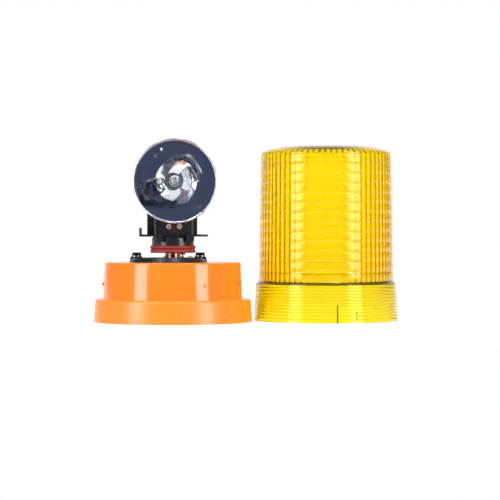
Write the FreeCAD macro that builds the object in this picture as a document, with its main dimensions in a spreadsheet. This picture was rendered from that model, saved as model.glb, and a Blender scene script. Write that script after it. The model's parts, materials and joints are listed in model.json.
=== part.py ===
import FreeCAD, Part
import math
import os
import re
import Sketcher

# Rotating warning beacon with its dome taken off and stood beside the base.
# The row frame has its origin at the centre of the base's underside, on the rotor axis, with +Z up.
# The reflector looks along -Y, and the dome stands on the +X side.

App = FreeCAD
document = App.newDocument("RotatingBeacon")
sheet = document.addObject("Spreadsheet::Sheet", "Sizes")

# Driving dimensions: millimetres, degrees and counts.
dimensions = {
    # base housing
    "wall": 3.0,
    "foot_radius": 80.0,
    "ledge_radius": 78.5,
    "ledge_height": 23.0,
    "ledge_round": 3.0,
    "tower_foot_radius": 70.5,
    "tower_top_radius": 69.0,
    "base_height": 60.0,
    "tower_round": 1.5,
    "deck_thickness": 3.0,
    "cover_recess": 4.5,
    "recess_shoulder": 2.0,
    "nub_rise": 15.0,
    "nub_radius": 2.0,
    "nub_reach": 1.5,
    "rib_drop": 4.0,
    "rib_half": 1.6,
    "rib_reach": 0.8,
    "rib_span": 15.0,
    "rib_azimuth": 323.5,
    "lock_count": 3,
    # underside
    "mount_circle": 130.0,
    "mount_count": 3,
    "mount_boss_radius": 8.0,
    "insert_bore_radius": 2.5,
    "insert_radius": 4.2,
    "insert_length": 12.0,
    "gasket_thickness": 2.0,
    "gasket_inner_radius": 52.0,
    "cover_boss_merge": 0.5,
    "cover_screw_azimuth": 30.0,
    "cover_boss_radius": 4.0,
    "inlet_bore_radius": 3.5,
    "inlet_hole_radius": 6.0,
    "slip": 0.3,
    # mounting plate and its three rubber mounts
    "plate_x": -5.0,
    "plate_y": 8.0,
    "plate_margin": 7.7,
    "plate_rise": 4.5,
    "plate_sheet": 2.3,
    "plate_bevel": 4.0,
    "plate_screw_gap": 9.3,
    "rubber_hole_radius": 4.95,
    "rubber_flange_radius": 6.6,
    "rubber_flange": 1.2,
    "plate_washer": 0.6,
    "plate_washer_radius": 5.2,
    "plate_screw_radius": 1.95,
    "plate_screw_grip": 13.0,
    "plate_head": 3.3,
    "plate_head_radius": 4.6,
    "plate_boss_radius": 4.0,
    "spindle_opening_radius": 10.0,
    # motor and friction drive
    "motor_x": 8.5,
    "motor_radius": 12.2,
    "motor_length": 28.8,
    "motor_cap": 3.0,
    "motor_boss_radius": 3.1,
    "motor_boss": 1.6,
    "motor_screw_spacing": 17.0,
    "motor_tab_reach": 6.0,
    "shaft_radius": 1.5,
    "running_gap": 0.05,
    "roller_radius": 3.0,
    "roller_gap": 0.3,
    # terminal block and leads in the base
    "terminal_x": -34.0,
    "terminal_y": -22.0,
    "terminal_half_depth": 7.0,
    "terminal_drop": 14.0,
    "pole_spacing": 11.0,
    "clamp_radius": 2.2,
    "lead_grip": 2.5,
    "lead_radius": 1.1,
    # spindle and bearing
    "spindle_radius": 5.0,
    "spindle_collar_radius": 7.5,
    "journal_radius": 4.0,
    "collar_height_on_plate": 4.8,
    "spindle_rise": 0.8,
    "spindle_bore_radius": 2.6,
    "spindle_flange_radius": 8.0,
    "spindle_flange": 1.8,
    "pin_radius": 1.5,
    "pin_rise": 3.6,
    "pin_drop": 13.5,
    "thrust_washer": 0.7,
    "bush_radius": 6.5,
    "clip_groove_drop": 1.4,
    "clip_thickness": 0.65,
    "clip_radius": 5.8,
    # rotor
    "rotor_angle": 7.0,
    "drum_lift": 0.4,
    "drum_height": 16.1,
    "drum_radius": 21.4,
    "drum_round": 3.0,
    "drum_roof": 3.0,
    "hub_radius": 12.6,
    "ring_seat_radius": 19.6,
    "ring_radius": 23.0,
    "ring_lift": 0.1,
    "ring_height": 7.3,
    "drum_screw_reach": 9.5,
    "tapped_radius": 1.25,
    "screw_hole_radius": 1.6,
    "carrier_sheet": 2.2,
    "carrier_left": 34.1,
    "carrier_right": 35.0,
    "carrier_half_depth": 12.0,
    "carrier_tab_rise": 8.8,
    "ear_reach": 22.9,
    "ear_spacing": 31.0,
    "ear_radius": 4.0,
    "ear_drop": 5.8,
    "bracket_sheet": 1.5,
    "panel_half_width": 25.5,
    "panel_back": 10.0,
    "panel_shoulder_rise": 38.5,
    "panel_rise": 70.5,
    "channel_half_width": 19.6,
    "channel_sheet": 1.2,
    "channel_front": 12.0,
    "channel_rise": 28.5,
    "insulator_sheet": 1.6,
    "insulator_radius": 13.0,
    "insulator_drop": 6.0,
    "rivet_rise": 6.5,
    "rivet_spacing": 10.8,
    "rivet_radius": 1.5,
    "rivet_lip": 1.1,
    "rivet_head": 0.8,
    "leaf_sheet": 0.4,
    "leaf_half_width": 3.0,
    "lead_rise": 11.0,
    # reflector, lamp and lamp clip
    "lamp_rise": 52.0,
    "dish_radius": 42.5,
    "dish_mouth_radius": 41.5,
    "dish_depth": 29.5,
    "filament_reach": 25.0,
    "dish_wall": 1.2,
    "dish_bead": 1.0,
    "dish_boss_reach": 19.0,
    "dish_boss_radius": 3.2,
    "dish_screw_radius": 1.4,
    "neck_radius": 9.0,
    "neck_bore_radius": 7.5,
    "holder_flange_radius": 14.0,
    "holder_flange": 2.3,
    "lamp_flange_radius": 11.0,
    "lamp_flange": 0.8,
    "lamp_boss_radius": 5.0,
    "lamp_boss": 3.4,
    "glass_radius": 5.75,
    "glass_wall": 1.0,
    "glass_reach": 29.7,
    "spade_length": 8.5,
    "spade_half_width": 3.15,
    "spade_half_sheet": 0.4,
    "clip_wire_radius": 0.6,
    "clip_half_width": 6.2,
    "clip_pivot_drop": 13.0,
    "clip_ear": 1.6,
    # dome
    "dome_x": 156.0,
    "dome_y": 28.0,
    "dome_angle": 45.0,
    "dome_height": 178.0,
    "dome_top_radius": 66.7,
    "dome_body_radius": 69.0,
    "dome_crown_radius": 54.0,
    "dome_crown_drop": 7.0,
    "dome_crown_round": 48.0,
    "dome_edge_round": 1.5,
    "dome_edge_land": 2.0,
    "dome_roof": 3.5,
    "prism_pitch": 9.8,
    "prism_depth": 0.6,
    "collar_foot_radius": 74.0,
    "collar_top_radius": 71.9,
    "collar_lap": 0.4,
    "collar_slope": 2.5,
    "collar_round": 1.2,
    "socket_foot_radius": 71.2,
    "socket_top_radius": 70.2,
    "flute_root_radius": 64.2,
    "flute_tip_radius": 63.0,
    "flute_half_width": 2.6,
    "flute_count": 64,
    "seal_thickness": 1.9,
    "seal_inner_radius": 64.6,
    "track_radius": 71.9,
    "track_half_height": 2.6,
    "track_entry_angle": 8.0,
    "track_run_angle": 26.0,
}
for row, (alias, amount) in enumerate(dimensions.items(), 1):
    sheet.set("A%d" % row, alias)
    sheet.set("B%d" % row, str(amount))
    sheet.setAlias("B%d" % row, alias)
document.recompute()

# Heights and a count that follow from other sizes, so that what stands on a piece rises and falls with it.
levels = {
    "nub_height": "ledge_height + nub_rise",
    "collar_height": "base_height - ledge_height + seal_thickness - collar_lap",
    "prism_count": "floor((dome_height - dome_crown_drop - dome_edge_land - collar_height - collar_slope)"
                   " / prism_pitch)",
    "plate_screw_reach": "ring_radius + plate_screw_gap",
    "plate_radius": "plate_screw_reach + plate_margin",
    "rib_height": "base_height - rib_drop",
    "journal_foot": "base_height + plate_rise + collar_height_on_plate",
    "pin_foot": "base_height + plate_rise - pin_drop",
    "drum_foot": "journal_foot + drum_lift",
    "drum_top": "drum_foot + drum_height",
    "ring_foot": "journal_foot + ring_lift",
    "ring_top": "ring_foot + ring_height",
    "spindle_top": "drum_top + spindle_rise",
    "pin_top": "spindle_top + pin_rise",
    "clip_groove_height": "drum_top - clip_groove_drop",
    "bracket_seat": "drum_top + carrier_sheet + bracket_sheet",
    "panel_shoulder": "bracket_seat + panel_shoulder_rise",
    "panel_top": "bracket_seat + panel_rise",
    "channel_top": "bracket_seat + channel_rise",
    "rivet_height": "bracket_seat + rivet_rise",
    "lead_height": "rivet_height + lead_rise",
    "lamp_height": "bracket_seat + lamp_rise",
}

# Places that follow from the driving dimensions, written as expressions of their aliases.
deck_under = "(base_height - deck_thickness)"
plate_top = "(base_height + plate_rise)"
plate_under = "(base_height + plate_rise - plate_sheet)"
motor_reach = "(ring_radius + roller_radius + roller_gap)"
motor_y = "sqrt(%s ^ 2 - motor_x ^ 2)" % motor_reach
mount_radius = "(mount_circle / 2)"
inner_ring = "(foot_radius - wall - recess_shoulder)"
cover_screw_radius = "(%s - cover_boss_radius + cover_boss_merge)" % inner_ring
cover_top = "cover_recess"
carrier_top = "(drum_top + carrier_sheet)"
foot_top = "(drum_top + carrier_sheet + bracket_sheet)"
holder_back = "(panel_back + holder_flange)"
four_focal = "(dish_mouth_radius ^ 2 / dish_depth)"  # four focal lengths of the paraboloid
filament_level = "(filament_reach - %s)" % holder_back  # the lamp's light centre, ahead of the rotor axis
dish_vertex = "(%s - %s / 4)" % (filament_level, four_focal)
seat_front = "(neck_radius ^ 2 / %s + %s)" % (four_focal, dish_vertex)
dish_clear = "(sqrt((channel_front + insulator_sheet - %s) * %s) + dish_wall + 1.6)" % (dish_vertex, four_focal)
seal_top = "(base_height - ledge_height + seal_thickness)"
crown_slope = "(dome_crown_drop / (dome_top_radius - dome_crown_radius))"
ceiling_edge = "(dome_height - dome_roof - (flute_tip_radius - dome_crown_radius) * %s)" % crown_slope
rubber_top = "(base_height + plate_rise + rubber_flange)"
head_foot = "(base_height + plate_rise + rubber_flange + plate_washer)"

rotor_turn = "rotation(vector(0; 0; 1); rotor_angle)"
rotor_place = "placement(vector(0; 0; 0); %s)" % rotor_turn
lamp_place = "placement(vector(0; 0; lamp_height); %s * rotation(vector(1; 0; 0); 90))" % rotor_turn
motor_place = "placement(vector(motor_x; %s; 0); rotation(vector(0; 0; 1); 0))" % motor_y
plate_place = "placement(vector(plate_x; plate_y; 0); rotation(vector(0; 0; 1); 0))"
dome_place = "placement(vector(dome_x; dome_y; 0); rotation(vector(0; 0; 1); dome_angle))"

sub_parts = []


def spelled(expression):
    """The expression with each level written out in sheet aliases."""
    return re.sub(
        r"[a-z]\w*",
        lambda word: "(%s)" % spelled(levels[word.group()]) if word.group() in levels else word.group(),
        str(expression),
    )


def size(expression):
    """Value of an expression of sheet aliases and levels."""
    return float(sheet.evalExpression(spelled(expression)))


def bound(expression):
    """The expression as another object writes it, with each alias under the sheet's name."""
    return re.sub(
        r"[a-z]\w*",
        lambda word: "Sizes." + word.group() if word.group() in dimensions else word.group(),
        spelled(expression),
    )


def vector(x, y, z):
    """Vector of three expressions."""
    return App.Vector(size(x), size(y), size(z))


def new_body(label, placement=None):
    """PartDesign body that becomes one node."""
    body = document.addObject("PartDesign::Body", label)
    body.Label = label
    if placement:
        body.setExpression("Placement", bound(placement))
    sub_parts.append(body)
    return body


def new_feature(label, shape, placement=None):
    """Node whose shape is made with Part's own functions."""
    feature = document.addObject("Part::Feature", label)
    feature.Label = label
    feature.Shape = shape
    if placement:
        feature.setExpression("Placement", bound(placement))
    sub_parts.append(feature)
    return feature


def origin_item(body, role):
    """One of a body's own origin planes or axes."""
    return next(item for item in body.Origin.OriginFeatures if item.Role == role)


def new_sketch(body, plane="XY_Plane", level="0", azimuth=None):
    """Sketch on an origin plane. Level is the X, Y or Z at which it lies; azimuth turns it about Z."""
    sketch = body.newObject("Sketcher::SketchObject", body.Name + "_sketch")
    sketch.AttachmentSupport = [(origin_item(body, plane), "")]
    sketch.MapMode = "FlatFace"
    side = "-" if plane == "XZ_Plane" else ""
    if azimuth:
        sketch.setExpression(
            "AttachmentOffset",
            bound("placement(vector(0; 0; 0); rotation(vector(0; 1; 0); %s))" % azimuth),
        )
    else:
        sketch.setExpression("AttachmentOffset.Base.z", bound("%s(%s)" % (side, level)))
    return sketch


def hold(sketch, geometry, point, x, y):
    """Dimensions that hold one point of a sketch at expressions of x and y."""
    for kind, expression in (("DistanceX", x), ("DistanceY", y)):
        value = size(expression)
        index = sketch.addConstraint(Sketcher.Constraint(kind, -1, 1, geometry, point, value))
        name = "%s%d_%d" % (kind[-1].lower(), geometry, point)
        sketch.renameConstraint(index, name)
        sketch.setExpression("Constraints." + name, bound(expression))


def draw_outline(sketch, corners):
    """Closed straight-sided outline through corners, each a pair of expressions."""
    first = sketch.GeometryCount
    count = len(corners)
    points = [vector(x, y, 0) for x, y in corners]
    for index in range(count):
        sketch.addGeometry(Part.LineSegment(points[index], points[(index + 1) % count]))
    for index in range(count):
        following = first + (index + 1) % count
        sketch.addConstraint(Sketcher.Constraint("Coincident", first + index, 2, following, 1))
    for index, (x, y) in enumerate(corners):
        hold(sketch, first + index, 1, x, y)
    return sketch


def draw_box(sketch, low_x, low_y, high_x, high_y):
    """Rectangle between two corners."""
    corners = [(low_x, low_y), (high_x, low_y), (high_x, high_y), (low_x, high_y)]
    return draw_outline(sketch, corners)


def draw_circle(sketch, x, y, radius):
    """Circle held by its centre and radius."""
    index = sketch.addGeometry(Part.Circle(vector(x, y, 0), App.Vector(0, 0, 1), size(radius)))
    hold(sketch, index, 3, x, y)
    constraint = sketch.addConstraint(Sketcher.Constraint("Radius", index, size(radius)))
    name = "radius%d" % index
    sketch.renameConstraint(constraint, name)
    sketch.setExpression("Constraints." + name, bound(radius))
    return sketch


def add_step(body, kind, sketch, **settings):
    """PartDesign feature on a sketch; a string setting is bound to the sheet."""
    step = body.newObject("PartDesign::" + kind, "%s_%s" % (body.Name, kind.lower()))
    step.Profile = sketch
    for name, setting in settings.items():
        if isinstance(setting, str) and name in ("Length", "Angle"):
            step.setExpression(name, bound(setting))
        else:
            setattr(step, name, setting)
    body.Tip = step
    return step


def pad(body, sketch, length, **settings):
    """Material along the sketch's normal: +Z, -Y or +X."""
    return add_step(body, "Pad", sketch, Length=length, **settings)


def cut_away(body, kind, sketch, **settings):
    """Pocket or groove that must take some material away."""
    document.recompute()
    before = body.Shape.Volume
    step = add_step(body, kind, sketch, **settings)
    document.recompute()
    if body.Shape.Volume > before - 0.01:
        raise RuntimeError("%s of %s cuts nothing" % (kind, body.Label))
    return step


def pocket(body, sketch, length=None, onward=False):
    """Cut against the sketch's normal, or onward along it; with no length it goes right through."""
    if length is None:
        return cut_away(body, "Pocket", sketch, Type="ThroughAll", Midplane=True)
    return cut_away(body, "Pocket", sketch, Length=length, Reversed=onward)


def turned(label, corners, placement=None):
    """Body of revolution about its own Z from an outline of (radius, height) corners."""
    body = new_body(label, placement)
    add_ring(body, corners, "360")
    return body


def add_ring(body, corners, angle, azimuth=None):
    """Outline revolved about Z through an angle, centred on an azimuth."""
    sketch = draw_outline(new_sketch(body, "XZ_Plane", "0", azimuth), corners)
    return add_step(
        body,
        "Revolution",
        sketch,
        ReferenceAxis=(sketch, ["V_Axis"]),
        Angle=angle,
        Midplane=azimuth is not None,
    )


def cut_ring(body, corners, angle, azimuth=None, onward=False):
    """Outline cut away about Z through an angle."""
    sketch = draw_outline(new_sketch(body, "XZ_Plane", "0", azimuth), corners)
    return cut_away(
        body,
        "Groove",
        sketch,
        ReferenceAxis=(sketch, ["V_Axis"]),
        Angle=angle,
        Midplane=not onward,
        Reversed=onward,
    )


def around(body, steps, count):
    """Steps repeated evenly round the body's Z axis."""
    pattern = body.newObject("PartDesign::PolarPattern", body.Name + "_pattern")
    pattern.Originals = steps
    pattern.Axis = (origin_item(body, "Z_Axis"), [""])
    pattern.Angle = 360
    pattern.setExpression("Occurrences", bound(count))
    body.Tip = pattern
    return pattern


def soften(body, kind, amount, test):
    """Fillet or chamfer on the edges whose middle point passes a test."""
    document.recompute()
    base = body.Tip
    names = []
    for number, edge in enumerate(base.Shape.Edges, 1):
        middle = edge.valueAt((edge.FirstParameter + edge.LastParameter) / 2)
        if test(middle):
            names.append("Edge%d" % number)
    if not names:
        raise RuntimeError("no edge to soften on " + body.Label)
    step = body.newObject("PartDesign::" + kind, "%s_%s" % (body.Name, kind.lower()))
    step.Base = (base, names)
    step.setExpression("Radius" if kind == "Fillet" else "Size", bound(amount))
    body.Tip = step
    return step


def near(first, second):
    """True when two lengths are the same within a rounding."""
    return abs(first - second) < 0.02


def reach(point):
    """Distance of a point from the Z axis."""
    return math.hypot(point.x, point.y)


def polar(radius, angle):
    """x and y expressions of a point on a circle about Z."""
    return "(%s) * cos(%s)" % (radius, angle), "(%s) * sin(%s)" % (radius, angle)


def cylinder(radius, low, high, x="0", y="0"):
    """Upright cylinder between two heights."""
    height = size(high) - size(low)
    return Part.makeCylinder(size(radius), height, vector(x, y, low))


def block(low_x, low_y, low_z, high_x, high_y, high_z):
    """Box between two corners."""
    low = vector(low_x, low_y, low_z)
    high = vector(high_x, high_y, high_z)
    return Part.makeBox(high.x - low.x, high.y - low.y, high.z - low.z, low)


def pan_screw(head_radius, head, shank_radius, grip):
    """Screw with its head seated on z = 0 and its shank below."""
    seat = Part.makeCylinder(size(head_radius), size(head) * 0.5)
    cap = seat.fuse(Part.makeCone(size(head_radius), size(head_radius) * 0.75, size(head) * 0.5,
                                  App.Vector(0, 0, size(head) * 0.5)))
    shank = Part.makeCylinder(size(shank_radius), size(grip), App.Vector(0, 0, -size(grip)))
    recess = Part.makeBox(size(head_radius) * 1.1, size(head) * 0.3, size(head), App.Vector(
        -size(head_radius) * 0.55, -size(head) * 0.15, size(head) * 0.55))
    cross = recess.copy()
    cross.rotate(App.Vector(0, 0, 0), App.Vector(0, 0, 1), 90)
    return cap.fuse(shank).cut(recess).cut(cross)


def placed(shape, places):
    """Compound of copies of a shape at placements."""
    copies = []
    for place in places:
        twin = shape.copy()
        twin.Placement = place
        copies.append(twin)
    return Part.makeCompound(copies)


def shifted(x, y, z, turn=None):
    """Placement at three expressions with an optional rotation."""
    return App.Placement(vector(x, y, z), turn or App.Rotation())


def bent_wire(points, radius, bend=None):
    """Round wire along straight runs joined by tangent arcs of radius bend, or as large as the runs allow."""
    edges = []
    start = points[0]
    for before, corner, after in zip(points, points[1:], points[2:]):
        inward = (before - corner).normalize()
        outward = (after - corner).normalize()
        half_turn = (math.pi - inward.getAngle(outward)) / 2
        shorter = min((before - corner).Length, (after - corner).Length)
        arc_radius = bend or 0.45 * shorter / math.tan(half_turn)
        setback = arc_radius * math.tan(half_turn)
        middle = (inward + outward).normalize()
        entry = corner + inward * setback
        leave = corner + outward * setback
        top = corner + middle * (arc_radius / math.cos(half_turn) - arc_radius)
        edges.append(Part.LineSegment(start, entry).toShape())
        edges.append(Part.Arc(entry, top, leave).toShape())
        start = leave
    edges.append(Part.LineSegment(start, points[-1]).toShape())
    spine = Part.Wire(edges)
    heading = points[1] - points[0]
    section = Part.Wire([Part.makeCircle(radius, points[0], heading)])
    wire = spine.makePipeShell([section], True, False)
    if not near(wire.Volume / (math.pi * radius ** 2 * spine.Length), 1):
        raise RuntimeError("a wire has the wrong volume")
    return wire


def plate_screw_spots():
    """Centres of the three plate screws from the plate's own centre."""
    return [("-plate_screw_reach", "0"), ("plate_screw_reach", "0"), ("0", "plate_screw_reach")]


def base_housing():
    """Moulded shell: stepped ring and tower, deck, bosses and the dome's bayonet nubs."""
    body = turned("base_housing", [
        ("foot_radius", "0"),
        ("ledge_radius", "ledge_height"),
        ("tower_foot_radius", "ledge_height"),
        ("tower_top_radius", "base_height"),
        ("0", "base_height"),
        ("0", deck_under),
        ("tower_top_radius - wall", deck_under),
        ("tower_foot_radius - wall", "ledge_height - wall"),
        (inner_ring, "ledge_height - wall"),
        (inner_ring, "cover_recess"),
        ("foot_radius - wall", "cover_recess"),
        ("foot_radius - wall", "0"),
    ])
    soften(body, "Fillet", "ledge_round",
           lambda p: near(p.z, size("ledge_height")) and near(reach(p), size("ledge_radius")))
    soften(body, "Fillet", "tower_round",
           lambda p: near(p.z, size("base_height")) and near(reach(p), size("tower_top_radius")))

    boss = pad(body, draw_circle(new_sketch(body), "0", mount_radius, "mount_boss_radius"), "ledge_height - 1")
    around(body, [boss], "mount_count")
    hole = pocket(body, draw_circle(new_sketch(body), "0", mount_radius, "insert_radius"),
                  "insert_length", onward=True)
    around(body, [hole], "mount_count")

    spot = polar(cover_screw_radius, "cover_screw_azimuth")
    boss = pad(body, draw_circle(new_sketch(body, level="cover_recess"), *spot, "cover_boss_radius"),
               "ledge_height - cover_recess - 1")
    around(body, [boss], "mount_count")
    hole = pocket(body, draw_circle(new_sketch(body, level="cover_recess"), *spot, "1.25"), "11", onward=True)
    around(body, [hole], "mount_count")

    for x, y in plate_screw_spots():
        x, y = "plate_x + " + x, "plate_y + " + y
        low = "base_height - plate_screw_grip - 1.5"
        pad(body, draw_circle(new_sketch(body, level=low), x, y, "plate_boss_radius"), "plate_screw_grip")
        pocket(body, draw_circle(new_sketch(body, level="base_height"), x, y, "plate_screw_radius + 0.05"),
               "plate_screw_grip")
    pocket(body, draw_circle(new_sketch(body, level="base_height"), "motor_x", motor_y, "motor_radius + 2"),
           "deck_thickness + 1")
    pocket(body, draw_circle(new_sketch(body, level="base_height"), "0", "0", "spindle_opening_radius"),
           "deck_thickness + 1")

    tower_radius = "(tower_foot_radius + (tower_top_radius - tower_foot_radius)" \
                   " * (nub_height - ledge_height) / (base_height - ledge_height))"
    nub = pad(body, draw_circle(new_sketch(body, "YZ_Plane", "-(%s + nub_reach)" % tower_radius),
                                "0", "nub_height", "nub_radius"), "nub_reach + wall / 2")
    around(body, [nub], "lock_count")
    rib = add_ring(body, [
        ("tower_top_radius - wall / 2", "rib_height - rib_half"),
        ("tower_top_radius + rib_reach", "rib_height"),
        ("tower_top_radius - wall / 2", "rib_height + rib_half"),
    ], "rib_span", azimuth="rib_azimuth")
    around(body, [rib], "lock_count")
    return body


def base_underside():
    """Gasket, bottom cover with its screws, cable grommet and threaded inserts."""
    clear = "mount_boss_radius + slip"
    spot = polar(cover_screw_radius, "cover_screw_azimuth")
    rim = "foot_radius - wall - slip"
    gasket = turned("base_gasket", [
        ("gasket_inner_radius", "0"), (rim, "0"),
        (rim, "gasket_thickness"), ("gasket_inner_radius", "gasket_thickness"),
    ])
    for x, y, radius in (("0", mount_radius, clear), (*spot, "cover_boss_radius")):
        hole = pocket(gasket, draw_circle(new_sketch(gasket), x, y, radius), "gasket_thickness", onward=True)
        around(gasket, [hole], "mount_count")

    cover = turned("bottom_cover", [
        ("inlet_hole_radius", "gasket_thickness"), (rim, "gasket_thickness"),
        (rim, cover_top), ("inlet_hole_radius", cover_top),
    ])
    for x, y, radius in (("0", mount_radius, clear), (*spot, "1.6")):
        hole = pocket(cover, draw_circle(new_sketch(cover), x, y, radius), "cover_recess", onward=True)
        around(cover, [hole], "mount_count")

    screw = pan_screw("3", "1.5", "1.2", "11")
    screw.rotate(App.Vector(0, 0, 0), App.Vector(1, 0, 0), 180)
    places = []
    for index in range(int(size("mount_count"))):
        angle = "cover_screw_azimuth + %d * 360 / mount_count" % index
        places.append(shifted(*polar(cover_screw_radius, angle), "gasket_thickness"))
    new_feature("cover_screws", placed(screw, [place * screw.Placement for place in places]))

    lip = "inlet_hole_radius + 2.5"
    turned("cable_grommet", [
        ("inlet_bore_radius", "0.5"), (lip, "0.5"), (lip, "gasket_thickness"),
        ("inlet_hole_radius", "gasket_thickness"), ("inlet_hole_radius", cover_top),
        (lip, cover_top), ("inlet_hole_radius", "cover_recess + 3"),
        ("inlet_bore_radius", "cover_recess + 3"),
    ])

    insert = cylinder("insert_radius", "0", "insert_length").cut(cylinder("insert_bore_radius", "0", "insert_length"))
    places = []
    for index in range(int(size("mount_count"))):
        places.append(shifted(*polar(mount_radius, "90 + %d * 360 / mount_count" % index), "0"))
    new_feature("mounting_inserts", placed(insert, places))


def mounting_plate():
    """Pressed steel dish that carries the spindle and the motor."""
    body = turned("mounting_plate", [
        ("0", plate_under), ("plate_radius - plate_bevel - 1", plate_under),
        ("plate_radius - 3.2", "base_height"), ("plate_radius", "base_height"),
        ("plate_radius - plate_bevel", plate_top), ("0", plate_top),
    ], plate_place)
    for x, y in plate_screw_spots():
        lobe = draw_circle(new_sketch(body, level="base_height"), x, y, "plate_radius - plate_screw_reach - 0.1")
        pad(body, lobe, "plate_rise", TaperAngle=-18)
        pocket(body, draw_circle(new_sketch(body, level=plate_top), x, y, "rubber_hole_radius"), "plate_rise")
    pocket(body, draw_circle(new_sketch(body, level=plate_top), "-plate_x", "-plate_y", "spindle_radius"),
           "plate_rise")
    x, y = "motor_x - plate_x", motor_y + " - plate_y"
    pocket(body, draw_circle(new_sketch(body, level=plate_top), x, y, "motor_boss_radius + 0.1"), "plate_rise")
    for side in ("- motor_screw_spacing / 2", "+ motor_screw_spacing / 2"):
        pocket(body, draw_circle(new_sketch(body, level=plate_top), x + side, y, "1.4"), "plate_rise")
    return body


def plate_fastenings():
    """Rubber mounts, washers and hexagon screws that hold the plate to the deck."""
    rubber = cylinder("rubber_hole_radius", "base_height", plate_top)
    cone = Part.makeCone(size("rubber_flange_radius"), size("plate_washer_radius"), size("rubber_flange"),
                         vector("0", "0", plate_top))
    rubber = rubber.fuse(cone).cut(cylinder("plate_screw_radius + 0.6", "base_height", rubber_top))
    washer = cylinder("plate_washer_radius", rubber_top, head_foot)
    washer = washer.cut(cylinder("plate_screw_radius + 0.4", rubber_top, head_foot))
    corners = [App.Vector(size("plate_head_radius") * math.cos(math.radians(60 * k)),
                          size("plate_head_radius") * math.sin(math.radians(60 * k)), size(head_foot))
               for k in range(7)]
    head = Part.Face(Part.makePolygon(corners)).extrude(vector("0", "0", "plate_head"))
    crown = Part.makeCone(size("plate_head_radius") + 2.2, size("plate_head_radius") * 0.87,
                          size("plate_head"), vector("0", "0", head_foot))
    shank = cylinder("plate_screw_radius", "base_height - plate_screw_grip + 0.5", head_foot)
    screw = head.common(crown).fuse(shank)
    places = [shifted(x, y, "0") for x, y in plate_screw_spots()]
    for label, shape in (("plate_grommets", rubber), ("plate_washers", washer), ("plate_screws", screw)):
        new_feature(label, placed(shape, places), plate_place)


def motor():
    """Small can motor under the plate, its cap, terminals and screws, with its shaft and drive roller."""
    can_foot = "%s - motor_length" % plate_under
    bore = "shaft_radius + running_gap"
    can = turned("motor_can", [
        (bore, can_foot), ("motor_radius", can_foot), ("motor_radius", plate_under + " - 1.2"),
        ("motor_radius - 1.2", plate_under), ("motor_boss_radius", plate_under),
        ("motor_boss_radius", plate_under + " + motor_boss"), (bore, plate_under + " + motor_boss"),
    ], motor_place)
    for x in ("-motor_screw_spacing / 2", "motor_screw_spacing / 2"):
        pocket(can, draw_circle(new_sketch(can, level=plate_under), x, "0", "tapped_radius"), "4")
    cap_foot = "%s - motor_cap" % can_foot
    turned("motor_end_cap", [
        ("0", cap_foot), ("motor_radius - 1", cap_foot), ("motor_radius - 0.2", cap_foot + " + 0.8"),
        ("motor_radius - 0.2", can_foot), ("0", can_foot),
    ], motor_place)
    tab = block("-1.4", "-0.25", cap_foot + " - 4", "1.4", "0.25", cap_foot)
    new_feature("motor_terminals", placed(tab, [shifted("-motor_tab_reach", "0", "0"), shifted("motor_tab_reach", "0", "0")]), motor_place)
    screw = pan_screw("2.3", "1.4", "1.2", "plate_sheet + 3.5")
    places = [shifted("-motor_screw_spacing / 2", "0", plate_top), shifted("motor_screw_spacing / 2", "0", plate_top)]
    new_feature("motor_screws", placed(screw, places), motor_place)
    turned("motor_shaft", [
        ("0", can_foot + " + 0.6"), ("shaft_radius", can_foot + " + 0.6"),
        ("shaft_radius", "ring_top + 0.8"), ("shaft_radius - 0.4", "ring_top + 1.2"), ("0", "ring_top + 1.2"),
    ], motor_place)
    turned("drive_roller", [
        ("shaft_radius", "ring_foot - 2"), ("roller_radius + 0.9", "ring_foot - 2"),
        ("roller_radius", "ring_foot - 0.8"), ("roller_radius", "ring_top + 0.2"),
        ("shaft_radius", "ring_top + 0.2"),
    ], motor_place)


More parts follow.
